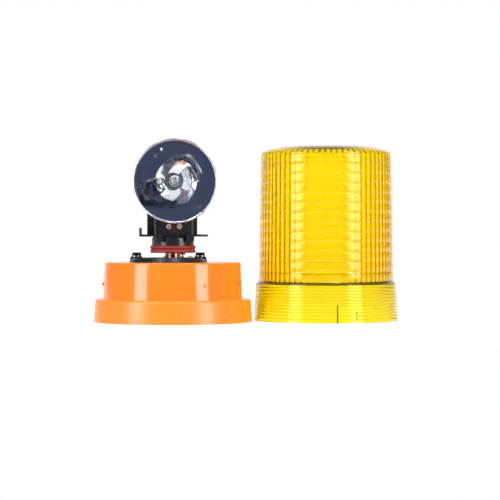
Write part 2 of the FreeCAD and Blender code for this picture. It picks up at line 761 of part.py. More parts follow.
def terminal_block():
    """Two-pole choc block under the deck, its clamp screws, and the leads inside the base."""
    foot = deck_under + " - terminal_drop"
    face = "(terminal_y + terminal_half_depth)"
    level = foot + " + terminal_drop / 2"
    poles = ["terminal_x - pole_spacing / 2", "terminal_x + pole_spacing / 2"]
    body = new_body("terminal_block")
    pad(body, draw_box(new_sketch(body, level=foot),
                       "terminal_x - pole_spacing", "terminal_y - terminal_half_depth",
                       "terminal_x + pole_spacing", face), "terminal_drop")
    for pole in poles:
        pocket(body, draw_circle(new_sketch(body, level=foot), pole, "terminal_y", "clamp_radius + 0.2"),
               "terminal_drop / 3", onward=True)
        pocket(body, draw_circle(new_sketch(body, "XZ_Plane", face), pole, level, "lead_radius + 0.4"),
               "lead_grip", onward=True)
    pocket(body, draw_circle(new_sketch(body, "YZ_Plane", "terminal_x + pole_spacing"), "terminal_y", level,
                             "lead_radius + 0.4"), "lead_grip")
    soften(body, "Fillet", "1", lambda p: near(p.z, size(foot))
           and near(abs(p.y - size("terminal_y")), size("terminal_half_depth")))
    screw = Part.makeCylinder(size("clamp_radius"), size("terminal_drop / 3 - 1.5"), App.Vector(0, 0, 1.5))
    slot = Part.makeBox(6, 0.7, 1.0, App.Vector(-3, -0.35, 1.5))
    new_feature("terminal_screws", placed(screw.cut(slot), [shifted(pole, "terminal_y", foot) for pole in poles]))

    cap_foot = "%s - motor_length - motor_cap" % plate_under
    leads = []
    for pole, tab in ((poles[0], "-motor_tab_reach"), (poles[1], "motor_tab_reach")):
        leads.append(bent_wire([
            vector(pole, face + " - lead_grip", level),
            vector(pole, face + " + 2 * terminal_half_depth", level),
            vector("motor_x + " + tab, motor_y + " - motor_radius - 4", cap_foot + " - 3"),
            vector("motor_x + " + tab, motor_y + " - 0.25", cap_foot + " - 3"),
        ], size("lead_radius")))
    new_feature("motor_leads", Part.makeCompound(leads))
    new_feature("lamp_feed_lead", bent_wire([
        vector("terminal_x + pole_spacing - lead_grip", "terminal_y", level),
        vector("terminal_x + 2 * pole_spacing", "terminal_y", level),
        vector("-4", "-14", "pin_foot - 17"),
        vector("0", "0", "pin_foot - 17"),
        vector("0", "0", "pin_foot"),
    ], size("lead_radius")))


def spindle_stack():
    """Fixed hollow spindle with the insulated live contact pin through it."""
    clip_top = "clip_groove_height + clip_thickness + 0.1"
    groove_radius = "journal_radius - 0.5"
    turned("spindle", [
        ("spindle_bore_radius", plate_under + " - spindle_flange"),
        ("spindle_flange_radius", plate_under + " - spindle_flange"),
        ("spindle_flange_radius", plate_under), ("spindle_radius", plate_under),
        ("spindle_radius", plate_top), ("spindle_collar_radius", plate_top),
        ("spindle_collar_radius", "journal_foot"), ("journal_radius", "journal_foot"),
        ("journal_radius", "clip_groove_height"), (groove_radius, "clip_groove_height"),
        (groove_radius, clip_top), ("journal_radius", clip_top),
        ("journal_radius", "spindle_top - 0.4"), ("journal_radius - 0.4", "spindle_top"),
        ("spindle_bore_radius", "spindle_top"),
    ])
    turned("spindle_insulator", [
        ("pin_radius", plate_under + " - 7"), ("spindle_bore_radius", plate_under + " - 7"),
        ("spindle_bore_radius", "spindle_top"), ("journal_radius - 0.4", "spindle_top"),
        ("journal_radius - 0.4", "spindle_top + 1.6"), ("pin_radius", "spindle_top + 1.6"),
    ])
    turned("centre_contact_pin", [
        ("0", "pin_foot"), ("pin_radius", "pin_foot"), ("pin_radius", "pin_top - 0.8"),
        ("pin_radius / 2", "pin_top"), ("0", "pin_top"),
    ])
    washer_top = "journal_foot + thrust_washer"
    turned("thrust_washer", [
        ("journal_radius + 0.1", "journal_foot"), ("bush_radius", "journal_foot"),
        ("bush_radius", washer_top), ("journal_radius + 0.1", washer_top),
    ])
    clip_face = "clip_groove_height + clip_thickness"
    clip = turned("spindle_circlip", [
        (groove_radius, "clip_groove_height"), ("clip_radius", "clip_groove_height"),
        ("clip_radius", clip_face), (groove_radius, clip_face),
    ])
    pocket(clip, draw_box(new_sketch(clip, level="clip_groove_height"), "-1.2", "1", "1.2", "clip_radius + 1"),
           "clip_thickness", onward=True)


def rotor_drum():
    """Drum with its bush, and the red friction ring that the roller drives."""
    bush_foot = "journal_foot + thrust_washer + 0.1"
    recess = "clip_groove_height - 0.4"
    turned("drum_bush", [
        ("journal_radius + running_gap", bush_foot), ("bush_radius", bush_foot),
        ("bush_radius", recess), ("journal_radius + running_gap", recess),
    ], rotor_place)
    drum = turned("rotor_drum", [
        ("bush_radius", bush_foot), ("hub_radius", bush_foot), ("hub_radius", "drum_top - drum_roof"),
        ("ring_seat_radius - 2", "drum_top - drum_roof"), ("ring_seat_radius - 2", "drum_foot"),
        ("ring_seat_radius", "drum_foot"), ("ring_seat_radius", "ring_top"),
        ("drum_radius", "ring_top"), ("drum_radius", "drum_top"),
        ("bush_radius + 0.7", "drum_top"), ("bush_radius + 0.7", recess), ("bush_radius", recess),
    ], rotor_place)
    soften(drum, "Fillet", "drum_round",
           lambda p: near(p.z, size("drum_top")) and near(reach(p), size("drum_radius")))
    for x in ("-drum_screw_reach", "drum_screw_reach"):
        pocket(drum, draw_circle(new_sketch(drum, level="drum_top"), x, "0", "tapped_radius"), "7")
    middle = "(ring_foot + ring_top) / 2"
    turned("friction_ring", [
        ("ring_seat_radius", "ring_foot"), ("ring_radius - 0.8", "ring_foot"), ("ring_radius", "ring_foot + 0.9"),
        ("ring_radius", middle + " - 1.4"), ("ring_radius - 1.1", middle), ("ring_radius", middle + " + 1.4"),
        ("ring_radius", "ring_top - 0.9"), ("ring_radius - 0.8", "ring_top"), ("ring_seat_radius", "ring_top"),
    ], rotor_place)


def carrier_plate():
    """Flat balance plate on the drum: tab turned up at the left, two rounded ears bent down in front."""
    body = new_body("carrier_plate", rotor_place)
    left_in, left_out = "-(ear_spacing / 2 + ear_radius)", "-(ear_spacing / 2 - ear_radius)"
    right_in, right_out = "ear_spacing / 2 - ear_radius", "ear_spacing / 2 + ear_radius"
    front, back = "-carrier_half_depth", "carrier_half_depth"
    pad(body, draw_outline(new_sketch(body, level="drum_top"), [
        ("-carrier_left", front), (left_in, front), (left_in, "-ear_reach"), (left_out, "-ear_reach"),
        (left_out, front), (right_in, front), (right_in, "-ear_reach"), (right_out, "-ear_reach"),
        (right_out, front), ("carrier_right - 9", front), ("carrier_right", "-5"), ("carrier_right", "5"),
        ("carrier_right - 9", back), ("-carrier_left", back),
    ]), "carrier_sheet")
    pad(body, draw_box(new_sketch(body, "YZ_Plane", "-carrier_left"), "-9", "drum_top",
                       "9", "drum_top + carrier_tab_rise"), "carrier_sheet * 0.9")
    ear_back = "-(ear_reach - carrier_sheet * 0.9)"
    for x in ("-ear_spacing / 2", "ear_spacing / 2"):
        round_height = "drum_top - ear_drop + ear_radius"
        pad(body, draw_box(new_sketch(body, "XZ_Plane", ear_back), x + " - ear_radius", round_height,
                           x + " + ear_radius", carrier_top), "carrier_sheet * 0.9")
        pad(body, draw_circle(new_sketch(body, "XZ_Plane", ear_back), x, round_height, "ear_radius"),
            "carrier_sheet * 0.9")
    pocket(body, draw_circle(new_sketch(body, level=carrier_top), "0", "0", "bush_radius"), "carrier_sheet")
    for x in ("-drum_screw_reach", "drum_screw_reach"):
        pocket(body, draw_circle(new_sketch(body, level=carrier_top), x, "0", "screw_hole_radius"), "carrier_sheet")
    return body


def reflector_bracket():
    """Folded steel bracket: rear panel with its foot, and the front channel spot-welded to it."""
    panel = new_body("bracket_panel", rotor_place)
    pad(panel, draw_outline(new_sketch(panel, "XZ_Plane", "panel_back"), [
        ("-panel_half_width", carrier_top), ("panel_half_width", carrier_top),
        ("panel_half_width", "panel_shoulder"), ("panel_half_width * 0.66", "panel_top"),
        ("-panel_half_width * 0.66", "panel_top"), ("-panel_half_width", "panel_shoulder"),
    ]), "bracket_sheet")
    soften(panel, "Fillet", "6", lambda p: near(abs(p.x), size("panel_half_width * 0.66"))
           and near(p.z, size("panel_top")))
    foot_half = "channel_half_width - channel_sheet - 0.9"
    pad(panel, draw_box(new_sketch(panel, level=carrier_top), "-(%s)" % foot_half, "-9.2",
                        foot_half, "panel_back"), "bracket_sheet")
    pocket(panel, draw_circle(new_sketch(panel, level=foot_top), "0", "0", "bush_radius"), "bracket_sheet")
    for x in ("-drum_screw_reach", "drum_screw_reach"):
        pocket(panel, draw_circle(new_sketch(panel, level=foot_top), x, "0", "screw_hole_radius"), "bracket_sheet")
    holes = [("0", "lamp_height", "neck_radius + 0.1"), ("0", "lead_height", "lead_radius + 1.2"),
             ("-dish_boss_reach", "lamp_height - dish_boss_reach", "dish_screw_radius + 0.2"),
             ("dish_boss_reach", "lamp_height - dish_boss_reach", "dish_screw_radius + 0.2")]
    for x, z, radius in holes:
        sketch = draw_circle(new_sketch(panel, "XZ_Plane", "panel_back - bracket_sheet"), x, z, radius)
        pocket(panel, sketch, "bracket_sheet")

    channel = new_body("bracket_channel", rotor_place)
    inner = "channel_half_width - channel_sheet"
    panel_front = "panel_back - bracket_sheet"
    pad(channel, draw_outline(new_sketch(channel, level=carrier_top), [
        ("-channel_half_width", "-channel_front"), ("channel_half_width", "-channel_front"),
        ("channel_half_width", panel_front), (inner, panel_front), (inner, "channel_sheet - channel_front"),
        ("-(%s)" % inner, "channel_sheet - channel_front"), ("-(%s)" % inner, panel_front),
        ("-channel_half_width", panel_front),
    ]), "channel_top - %s" % carrier_top)
    pocket(channel, draw_circle(new_sketch(channel, "XZ_Plane", "-channel_front"), "0", "lamp_height", dish_clear),
           "channel_front + panel_back")
    for x in ("-rivet_spacing / 2", "rivet_spacing / 2"):
        pocket(channel, draw_circle(new_sketch(channel, "XZ_Plane", "-channel_front"), x, "rivet_height",
                                    "rivet_radius + rivet_lip"), "channel_sheet")
    soften(channel, "Fillet", "1.8", lambda p: near(abs(p.x), size("channel_half_width"))
           and near(p.y, -size("channel_front")))

    screw = pan_screw("2.6", "1.7", "1.2", "bracket_sheet + carrier_sheet + 6")
    new_feature("drum_screws", placed(screw, [shifted("-drum_screw_reach", "0", foot_top),
                                              shifted("drum_screw_reach", "0", foot_top)]), rotor_place)


def live_contact():
    """Insulating plates, eyelet rivets and leaf spring that bring the live side up to the lamp."""
    front = "channel_front + insulator_sheet"
    web_back = "channel_front - channel_sheet"
    rear = "(%s - insulator_sheet + 0.2)" % web_back
    leaf_back = "%s - leaf_sheet" % rear
    rivets = ("-rivet_spacing / 2", "rivet_spacing / 2")
    tongue = new_body("insulator_tongue", rotor_place)
    pad(tongue, draw_box(new_sketch(tongue, "XZ_Plane", "-channel_front"), "-insulator_radius",
                         "rivet_height - insulator_drop", "insulator_radius", "lamp_height - " + dish_clear), "insulator_sheet")
    soften(tongue, "Fillet", "insulator_radius - 0.1", lambda p: near(p.z, size("rivet_height - insulator_drop"))
           and near(abs(p.x), size("insulator_radius")))
    backing = new_body("insulator_backing", rotor_place)
    pad(backing, draw_box(new_sketch(backing, "XZ_Plane", "-" + rear), "-9", "rivet_height - 4.5",
                          "9", "lead_height + lead_radius + 0.5"), "%s - %s" % (web_back, rear))
    for x in rivets:
        for plate, level in ((tongue, front), (backing, web_back)):
            pocket(plate, draw_circle(new_sketch(plate, "XZ_Plane", "-(%s)" % level), x, "rivet_height",
                                      "rivet_radius"), "insulator_sheet")

    sideways = App.Rotation(App.Vector(1, 0, 0), 90)
    length = size("(%s) - (%s)" % (front, leaf_back))
    eyelet = Part.makeCylinder(size("rivet_radius"), length)
    eyelet = eyelet.fuse([Part.makeCylinder(size("rivet_radius + rivet_lip"), size("rivet_head"), App.Vector(0, 0, length)),
                          Part.makeCylinder(size("rivet_radius + rivet_lip"), size("rivet_head"),
                                            App.Vector(0, 0, -size("rivet_head")))])
    eyelet = eyelet.cut(Part.makeCylinder(size("rivet_radius") * 0.5, length + 4, App.Vector(0, 0, -2)))
    places = [shifted(x, "-(%s)" % leaf_back, "rivet_height", sideways) for x in rivets]
    new_feature("contact_rivets", placed(eyelet, places), rotor_place)

    leaf = new_body("contact_leaf", rotor_place)
    leaf_under = "pin_top + 0.4"
    pad(leaf, draw_box(new_sketch(leaf, "XZ_Plane", "-(%s)" % leaf_back), "-8", "rivet_height - 3.5",
                       "8", "lead_height + lead_radius"), "leaf_sheet")
    pad(leaf, draw_outline(new_sketch(leaf, "YZ_Plane", "-leaf_half_width"), [
        ("-" + rear, "rivet_height"), ("-" + rear, leaf_under), ("pin_radius + 1.5", leaf_under),
        ("pin_radius + 1.5", leaf_under + " + leaf_sheet"),
        ("-(%s)" % leaf_back, leaf_under + " + leaf_sheet"), ("-(%s)" % leaf_back, "rivet_height"),
    ]), "2 * leaf_half_width")
    for x in rivets:
        pocket(leaf, draw_circle(new_sketch(leaf, "XZ_Plane", "-" + rear), x, "rivet_height",
                                 "rivet_radius"), "leaf_sheet")

    connector_y = "%s + lamp_flange + lamp_boss + 4" % holder_back
    route = [vector("0", connector_y, "lamp_height - 10"), vector("0", connector_y, "lead_height"),
             vector("0", "-(%s)" % leaf_back, "lead_height")]
    new_feature("lamp_lead", bent_wire(route, size("lead_radius")), rotor_place)

    low = "%s + lamp_flange + lamp_boss + 0.6" % holder_back
    sleeve = block("-4.4", low, "lamp_height - 1.4", "4.4", low + " + 8.6", "lamp_height + 1.4")
    sleeve = sleeve.fuse(cylinder("2.2", "lamp_height - 10", "lamp_height - 1.4", "0", connector_y))
    slot = block("-(spade_half_width + 0.1)", low, "lamp_height - spade_half_sheet - 0.05",
                 "spade_half_width + 0.1", low + " + 8", "lamp_height + spade_half_sheet + 0.05")
    new_feature("lamp_connector", sleeve.cut(slot), rotor_place)


def reflector():
    """Spun paraboloid dish with a beaded mouth and two screw bosses behind it."""
    focal = size(four_focal)
    vertex = size(dish_vertex)
    mouth = size("dish_mouth_radius")
    outer = size("dish_radius")
    neck = size("neck_radius")
    front = vertex + size("dish_depth")
    wall = size("dish_wall")

    def curve(low, high, shift):
        """Parabola arc z = r^2 / 4f between two radii as an exact quadratic."""
        arc = Part.BezierCurve()
        arc.setPoles([App.Vector(low, 0, low ** 2 / focal + shift),
                      App.Vector((low + high) / 2, 0, low * high / focal + shift),
                      App.Vector(high, 0, high ** 2 / focal + shift)])
        return arc.toShape()

    inside = curve(neck, mouth, vertex)
    outside = curve(neck, mouth, vertex - wall)
    bead = size("dish_bead")
    rim = [App.Vector(mouth, 0, front), App.Vector(outer, 0, front), App.Vector(outer, 0, front - bead),
           App.Vector(mouth, 0, front - wall)]
    lip = Part.makePolygon(rim).Edges
    seat = size(seat_front)
    collar = Part.makeLine(App.Vector(neck, 0, seat - wall), App.Vector(neck, 0, seat))
    profile = Part.Wire(Part.__sortEdges__([inside, outside, collar] + lip))
    dish = Part.Face(profile).revolve(App.Vector(0, 0, 0), App.Vector(0, 0, 1), 360)

    axis = Part.makeLine(App.Vector(0, 0, vertex), App.Vector(0, 0, front))
    cap = Part.makeLine(App.Vector(0, 0, front), App.Vector(mouth, 0, front))
    bowl_wire = Part.Wire(Part.__sortEdges__([curve(0, mouth, vertex), cap, axis]))
    bowl = Part.Face(bowl_wire).revolve(App.Vector(0, 0, 0), App.Vector(0, 0, 1), 360)
    middle_of_wall = bowl.translated(App.Vector(0, 0, -wall / 2))
    panel_front = size("panel_back - bracket_sheet")
    for side in (-1, 1):
        spot = App.Vector(side * size("dish_boss_reach"), -size("dish_boss_reach"), -panel_front)
        boss = Part.makeCylinder(size("dish_boss_radius"), front * 0.8 + panel_front, spot).cut(middle_of_wall)
        boss = max(boss.Solids, key=lambda solid: -solid.CenterOfMass.z)
        dish = dish.fuse(boss)
        dish = dish.cut(Part.makeCylinder(size("dish_screw_radius") + 0.05, panel_front + 2, spot))
    new_feature("reflector", dish, lamp_place)

    screw = pan_screw("dish_screw_radius * 2", "1.6", "dish_screw_radius", "bracket_sheet + 7")
    backward = App.Rotation(App.Vector(1, 0, 0), 180)
    places = [shifted(side + "dish_boss_reach", "-dish_boss_reach", "-panel_back", backward) for side in ("-", "")]
    new_feature("reflector_screws", placed(screw, places), lamp_place)


def lamp():
    """Holder ring, halogen lamp and the wire clip that keeps the lamp in."""
    back = "-(%s)" % holder_back
    holder = turned("lamp_holder", [
        ("neck_bore_radius", back), ("holder_flange_radius", back), ("holder_flange_radius", "-panel_back"),
        ("neck_radius", "-panel_back"), ("neck_radius", seat_front), ("neck_bore_radius", seat_front),
    ], lamp_place)
    ear_foot = "clip_half_width + clip_wire_radius + 1.2"
    ear_top = "-(panel_back + holder_flange + lamp_flange + 2.6)"
    wire_z = "-(panel_back + holder_flange + lamp_flange + 0.3 + clip_wire_radius)"
    for low, high in (("-(%s + clip_ear)" % ear_foot, "-(%s)" % ear_foot), (ear_foot, ear_foot + " + clip_ear")):
        pad(holder, draw_box(new_sketch(holder, level=ear_top), low, "-clip_pivot_drop - 2",
                             high, "-clip_pivot_drop + 4.4"), "-(%s) - panel_back" % ear_top)
        pocket(holder, draw_circle(new_sketch(holder, "YZ_Plane", high), "-clip_pivot_drop", wire_z,
                                   "clip_wire_radius + running_gap"), "clip_ear")
    catch = "clip_pivot_drop + clip_wire_radius + 0.3"
    pad(holder, draw_box(new_sketch(holder, level=ear_top), "-3", catch, "3", catch + " + 1.6"),
        "-(%s) - panel_back" % ear_top)
    pad(holder, draw_box(new_sketch(holder, level=back), "-3", "holder_flange_radius - 2.2", "3", catch + " + 1.6"),
        "holder_flange")

    flange_back = back + " - lamp_flange"
    turned("lamp_base", [
        ("0", flange_back + " - lamp_boss"), ("lamp_boss_radius", flange_back + " - lamp_boss"),
        ("lamp_boss_radius", flange_back), ("lamp_flange_radius", flange_back), ("lamp_flange_radius", back),
        ("neck_bore_radius - 0.2", back), ("neck_bore_radius - 0.2", "-1"), ("glass_radius + 0.1", "-1"),
        ("glass_radius + 0.1", "-6"), ("0", "-6"),
    ], lamp_place)
    inner = "(glass_radius - glass_wall)"
    turned("lamp_glass", [
        (inner, "-6"), ("glass_radius", "-6"), ("glass_radius", "glass_reach - 4"),
        ("glass_radius * 0.72", "glass_reach - 1.2"), ("glass_radius * 0.3", "glass_reach"), ("0", "glass_reach"),
        ("0", "glass_reach - glass_wall"), (inner + " * 0.6", "glass_reach - 2 * glass_wall"),
        (inner, "glass_reach - 4.2"),
    ], lamp_place)

    focus = size(filament_level)
    coil = Part.makeCylinder(0.7, 5, App.Vector(0, 0, focus - 2.5))
    posts = []
    for x, top in ((-2.0, focus - 2.5), (2.0, focus + 2.5)):
        posts.append(bent_wire([App.Vector(x, 0, -6), App.Vector(x, 0, top), App.Vector(0, 0, top)], 0.3, 0.6))
    new_feature("lamp_filament", coil.fuse(posts), lamp_place)
    tail = size(flange_back + " - lamp_boss")
    blade = block("-spade_half_width", "-spade_half_sheet", "%f - spade_length" % tail,
                  "spade_half_width", "spade_half_sheet", "%f" % tail)
    new_feature("lamp_spade", blade, lamp_place)

    outer = ear_foot + " + clip_ear + 1"
    route = []
    for x, y in ((outer, "-"), ("clip_half_width", "-"), ("clip_half_width", ""),
                 ("-clip_half_width", ""), ("-clip_half_width", "-"), ("-(%s)" % outer, "-")):
        route.append(vector(x, y + "clip_pivot_drop", wire_z))
    new_feature("lamp_clip", bent_wire(route, size("clip_wire_radius"), 1.3), lamp_place)


def dome():
    """Amber lens: prismatic rings outside, vertical flutes inside, and a plain collar with bayonet tracks."""
    first = "(collar_height + collar_slope)"
    slope = "(dome_body_radius - dome_top_radius) / (dome_height - %s)" % first
    corners = [("socket_foot_radius", "0"), ("collar_foot_radius", "0"), ("collar_top_radius", "collar_height")]
    for ring in range(int(size("prism_count"))):
        root = "%s + %d * prism_pitch" % (first, ring)
        crest = root + " + prism_pitch / 2"
        for height, depth in ((root, " - prism_depth"), (crest, "")):
            corners.append(("dome_body_radius - (%s - %s) * %s%s" % (height, first, slope, depth), height))
    last = "%s + prism_count * prism_pitch" % first
    corners += [
        ("dome_body_radius - (%s - %s) * %s - prism_depth" % (last, first, slope), last),
        ("dome_top_radius", "dome_height - dome_crown_drop"), ("dome_crown_radius", "dome_height"),
        ("0", "dome_height"), ("0", "dome_height - dome_roof"), ("dome_crown_radius", "dome_height - dome_roof"),
        ("flute_tip_radius", ceiling_edge), ("flute_tip_radius", seal_top),
        ("socket_top_radius", seal_top),
    ]
    body = turned("dome", corners, dome_place)
    soften(body, "Fillet", "dome_crown_round",
           lambda p: near(p.z, size("dome_height")) and near(reach(p), size("dome_crown_radius")))
    soften(body, "Fillet", "dome_edge_round",
           lambda p: near(p.z, size("dome_height - dome_crown_drop")) and near(reach(p), size("dome_top_radius")))
    soften(body, "Fillet", "collar_round",
           lambda p: near(p.z, size("collar_height")) and near(reach(p), size("collar_top_radius")))
    track_height = "(nub_height - ledge_height)"
    entry = cut_ring(body, [
        ("socket_top_radius - 1", "0"), ("track_radius", "0"),
        ("track_radius", track_height + " + track_half_height"),
        ("socket_top_radius - 1", track_height + " + track_half_height"),
    ], "track_entry_angle", azimuth="180")
    around(body, [entry], "lock_count")
    run = cut_ring(body, [
        ("socket_top_radius - 1", track_height + " - track_half_height"),
        ("track_radius", track_height + " - track_half_height"),
        ("track_radius", track_height + " + track_half_height"),
        ("socket_top_radius - 1", track_height + " + track_half_height"),
    ], "track_run_angle", azimuth="180 + track_run_angle / 2")
    around(body, [run], "lock_count")
    flute = pocket(body, draw_outline(new_sketch(body, level=seal_top), [
        ("flute_tip_radius - 1", "-flute_half_width"), ("flute_root_radius", "0"),
        ("flute_tip_radius - 1", "flute_half_width"),
    ]), "%s - %s" % (ceiling_edge, seal_top), onward=True)
    around(body, [flute], "flute_count")
    turned("dome_seal", [
        ("seal_inner_radius", "base_height - ledge_height"),
        ("socket_top_radius - 0.6", "base_height - ledge_height"),
        ("socket_top_radius - 0.6", seal_top), ("seal_inner_radius", seal_top),
    ], dome_place)
    return body


base_housing()
base_underside()
mounting_plate()
plate_fastenings()
motor()
terminal_block()
spindle_stack()
rotor_drum()
carrier_plate()
reflector_bracket()
live_contact()
reflector()
lamp()
dome()
document.recompute()

for item in document.Objects:
    if "Invalid" in item.State or "Error" in item.State:
        raise RuntimeError("%s failed to build" % item.Label)
os.makedirs("parts", exist_ok=True)
for part in sub_parts:
    shape = part.Shape
    if shape.isNull() or not shape.isValid() or shape.Volume <= 0:
        raise RuntimeError("%s has no sound solid" % part.Label)
    shape.exportStep("parts/%s.step" % part.Label)
    print("%-20s solids %d  volume %.0f mm3" % (part.Label, len(shape.Solids), shape.Volume))
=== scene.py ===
import json
import math
import bmesh
import bpy
import numpy as np
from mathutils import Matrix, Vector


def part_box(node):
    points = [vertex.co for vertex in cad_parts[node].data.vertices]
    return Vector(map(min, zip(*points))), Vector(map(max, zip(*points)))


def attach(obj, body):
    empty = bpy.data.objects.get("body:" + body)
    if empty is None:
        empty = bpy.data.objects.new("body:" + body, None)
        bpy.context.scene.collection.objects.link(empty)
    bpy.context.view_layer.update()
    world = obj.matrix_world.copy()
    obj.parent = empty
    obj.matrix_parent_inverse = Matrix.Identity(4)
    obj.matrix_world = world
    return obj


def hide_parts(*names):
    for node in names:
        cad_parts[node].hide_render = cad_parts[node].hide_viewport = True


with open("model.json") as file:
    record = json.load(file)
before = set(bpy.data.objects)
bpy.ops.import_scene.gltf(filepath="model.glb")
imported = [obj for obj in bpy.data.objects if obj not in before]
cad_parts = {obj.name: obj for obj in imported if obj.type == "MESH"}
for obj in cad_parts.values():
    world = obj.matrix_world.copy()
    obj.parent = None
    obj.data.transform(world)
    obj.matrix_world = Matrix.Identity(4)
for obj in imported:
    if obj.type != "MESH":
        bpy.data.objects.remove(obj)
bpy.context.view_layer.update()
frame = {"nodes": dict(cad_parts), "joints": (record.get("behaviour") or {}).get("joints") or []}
nodes = frame["nodes"]
scene = bpy.context.scene
mm = 0.001
print("frame loaded:", len(nodes), "nodes")


def linear(hexColour):
    # sRGB hex digits to linear red, green and blue, with an alpha of one
    parts = np.array([int(hexColour[start:start + 2], 16) for start in (1, 3, 5)]) / 255
    curved = np.where(parts <= 0.04045, parts / 12.92, ((parts + 0.055) / 1.055) ** 2.4)
    return (*[float(part) for part in curved], 1.0)


def addNode(tree, kind, inputs=None, **settings):
    # one node with its settings; each input is a plain value or the socket that feeds it
    node = tree.nodes.new("ShaderNode" + kind)
    for name, value in settings.items():
        setattr(node, name, value)
    for name, value in (inputs or {}).items():
        if isinstance(value, bpy.types.NodeSocket):
            tree.links.new(value, node.inputs[name])
        else:
            node.inputs[name].default_value = value
    return node


def newMaterial(name, **sockets):
    # a material with one Principled shader; sockets are named with underscores for spaces
    material = bpy.data.materials.new(name)
    material.use_nodes = True
    tree = material.node_tree
    shader = tree.nodes["Principled BSDF"]
    for socket, value in sockets.items():
        shader.inputs[socket.replace("_", " ")].default_value = value
    return material, tree, shader


def objectPlace(tree, stretch=(1, 1, 1)):
    # object coordinates in metres, squeezed along an axis where a pattern is long
    place = addNode(tree, "TexCoord").outputs["Object"]
    return addNode(tree, "Mapping", {"Vector": place, "Scale": stretch}).outputs[0]


def noiseAt(tree, place, size, detail=2.0, low=0.35, high=0.65):
    # noise whose lumps measure size, spread to run from nought to one
    noise = addNode(tree, "TexNoise", {"Vector": place, "Scale": 1 / size, "Detail": detail})
    return addNode(tree, "MapRange", {0: noise.outputs[0], 1: low, 2: high}).outputs[0]


def tintBetween(tree, shader, factor, first, second):
    # the base colour drifts between two hex values
    tint = addNode(tree, "Mix", {0: factor, 6: linear(first), 7: linear(second)}, data_type="RGBA")
    tree.links.new(tint.outputs[2], shader.inputs["Base Color"])


def roughBetween(tree, shader, factor, low, high):
    # the roughness drifts between two values
    rough = addNode(tree, "MapRange", {0: factor, 3: low, 4: high})
    tree.links.new(rough.outputs[0], shader.inputs["Roughness"])


def raiseRelief(tree, shader, height, depth):
    # bump of a real depth
    bump = addNode(tree, "Bump", {"Height": height, "Distance": depth, "Strength": 1.0})
    tree.links.new(bump.outputs[0], shader.inputs["Normal"])


# camera about level with the dome's middle, far enough off that the sides hardly converge
cameraView = {
    "distance": 2.0, "height": 0.095, "aim": 0.0722, "centre": 0.078,
    "span": 0.5063,         # width of the picture at the object
    "sensor": 36.0, "clipEnd": 50.0,
}


def placeCamera():
    # the focal length is the sensor's width times the distance over the width seen at the object
    lens = cameraView["sensor"] * cameraView["distance"] / cameraView["span"]
    data = bpy.data.cameras.new("camera")
    data.lens = lens
    data.sensor_width = cameraView["sensor"]
    data.clip_end = cameraView["clipEnd"]
    camera = bpy.data.objects.new("camera", data)
    drop = math.atan2(cameraView["height"] - cameraView["aim"], cameraView["distance"])
    camera.location = (cameraView["centre"], -cameraView["distance"], cameraView["height"])
    camera.rotation_euler = (math.pi / 2 - drop, 0, 0)
    scene.collection.objects.link(camera)
    scene.camera = camera


# lamps: azimuth from the front, height angle, angular width and height seen from the object, brightness
studio = {
    "distance": 2.0,
    "centre": (0.078, 0.0, 0.09),
    "strips": {
        "leftStrip": (-53, 20, 22, 48, 7.5),
        "rightStrip": (49.5, 18, 22, 52, 7.5),
        "leftTop": (-56, 69, 16, 9, 9.0),
        "rightTop": (49, 76, 16, 9, 9.0),
    },
    "fillLevel": 0.42,      # light from all round on matt surfaces
    "roomColour": "#515768",  # the unlit room in front and at the sides, as mirrors show it
    "whiteFrom": 0.7, "whiteFull": 0.9,  # how far behind a reflection points before it meets the white wall
    "tableReach": 8.0,
    "tableFront": 0.45,     # past the table's front edge a mirror shows the dark room
    "tableDrop": 0.5,       # below the object, in millimetres
    "tableGlow": 0.93, "tableFill": 0.35, "tableGrey": 0.25,
}


def hangStrip(name, azimuth, rise, width, height, brightness):
    # a softbox facing the object: its size follows from the angles that it fills
    distance = studio["distance"]
    azimuth, rise = math.radians(azimuth), math.radians(rise)
    ray = np.array([math.sin(azimuth) * math.cos(rise), -math.cos(azimuth) * math.cos(rise), math.sin(rise)])
    data = bpy.data.lights.new(name, "AREA")
    data.shape = "RECTANGLE"
    data.size = 2 * distance * math.tan(math.radians(width / 2))
    data.size_y = 2 * distance * math.tan(math.radians(height / 2))
    data.energy = brightness * math.pi * data.size * data.size_y
    lamp = bpy.data.objects.new(name, data)
    lamp.location = np.array(studio["centre"]) + ray * distance
    lamp.rotation_euler = (math.pi / 2 - rise, 0, azimuth)
    lamp.visible_camera = False
    scene.collection.objects.link(lamp)


def lightWorld():
    # white to the eye and through clear walls, dark but for the back wall in mirrors, level on matt surfaces
    world = bpy.data.worlds.new("studio")
    scene.world = world
    world.use_nodes = True
    tree = world.node_tree
    ray = addNode(tree, "LightPath").outputs
    direction = addNode(tree, "SeparateXYZ", {0: addNode(tree, "TexCoord").outputs["Generated"]})
    dark = addNode(tree, "MapRange", {0: direction.outputs["Y"], 1: studio["whiteFull"],
                                      2: studio["whiteFrom"]})
    room = addNode(tree, "Mix", {0: dark.outputs[0], 6: (1, 1, 1, 1), 7: linear(studio["roomColour"])},
                   data_type="RGBA")
    fill = studio["fillLevel"]
    seen = addNode(tree, "Mix", {0: ray["Is Glossy Ray"], 6: (fill, fill, fill, 1), 7: room.outputs[2]},
                   data_type="RGBA")
    clear = addNode(tree, "Math", {0: ray["Is Camera Ray"], 1: ray["Is Transmission Ray"]},
                    operation="MAXIMUM")
    final = addNode(tree, "Mix", {0: clear.outputs[0], 6: seen.outputs[2], 7: (1, 1, 1, 1)}, data_type="RGBA")
    tree.links.new(final.outputs[2], tree.nodes["Background"].inputs["Color"])


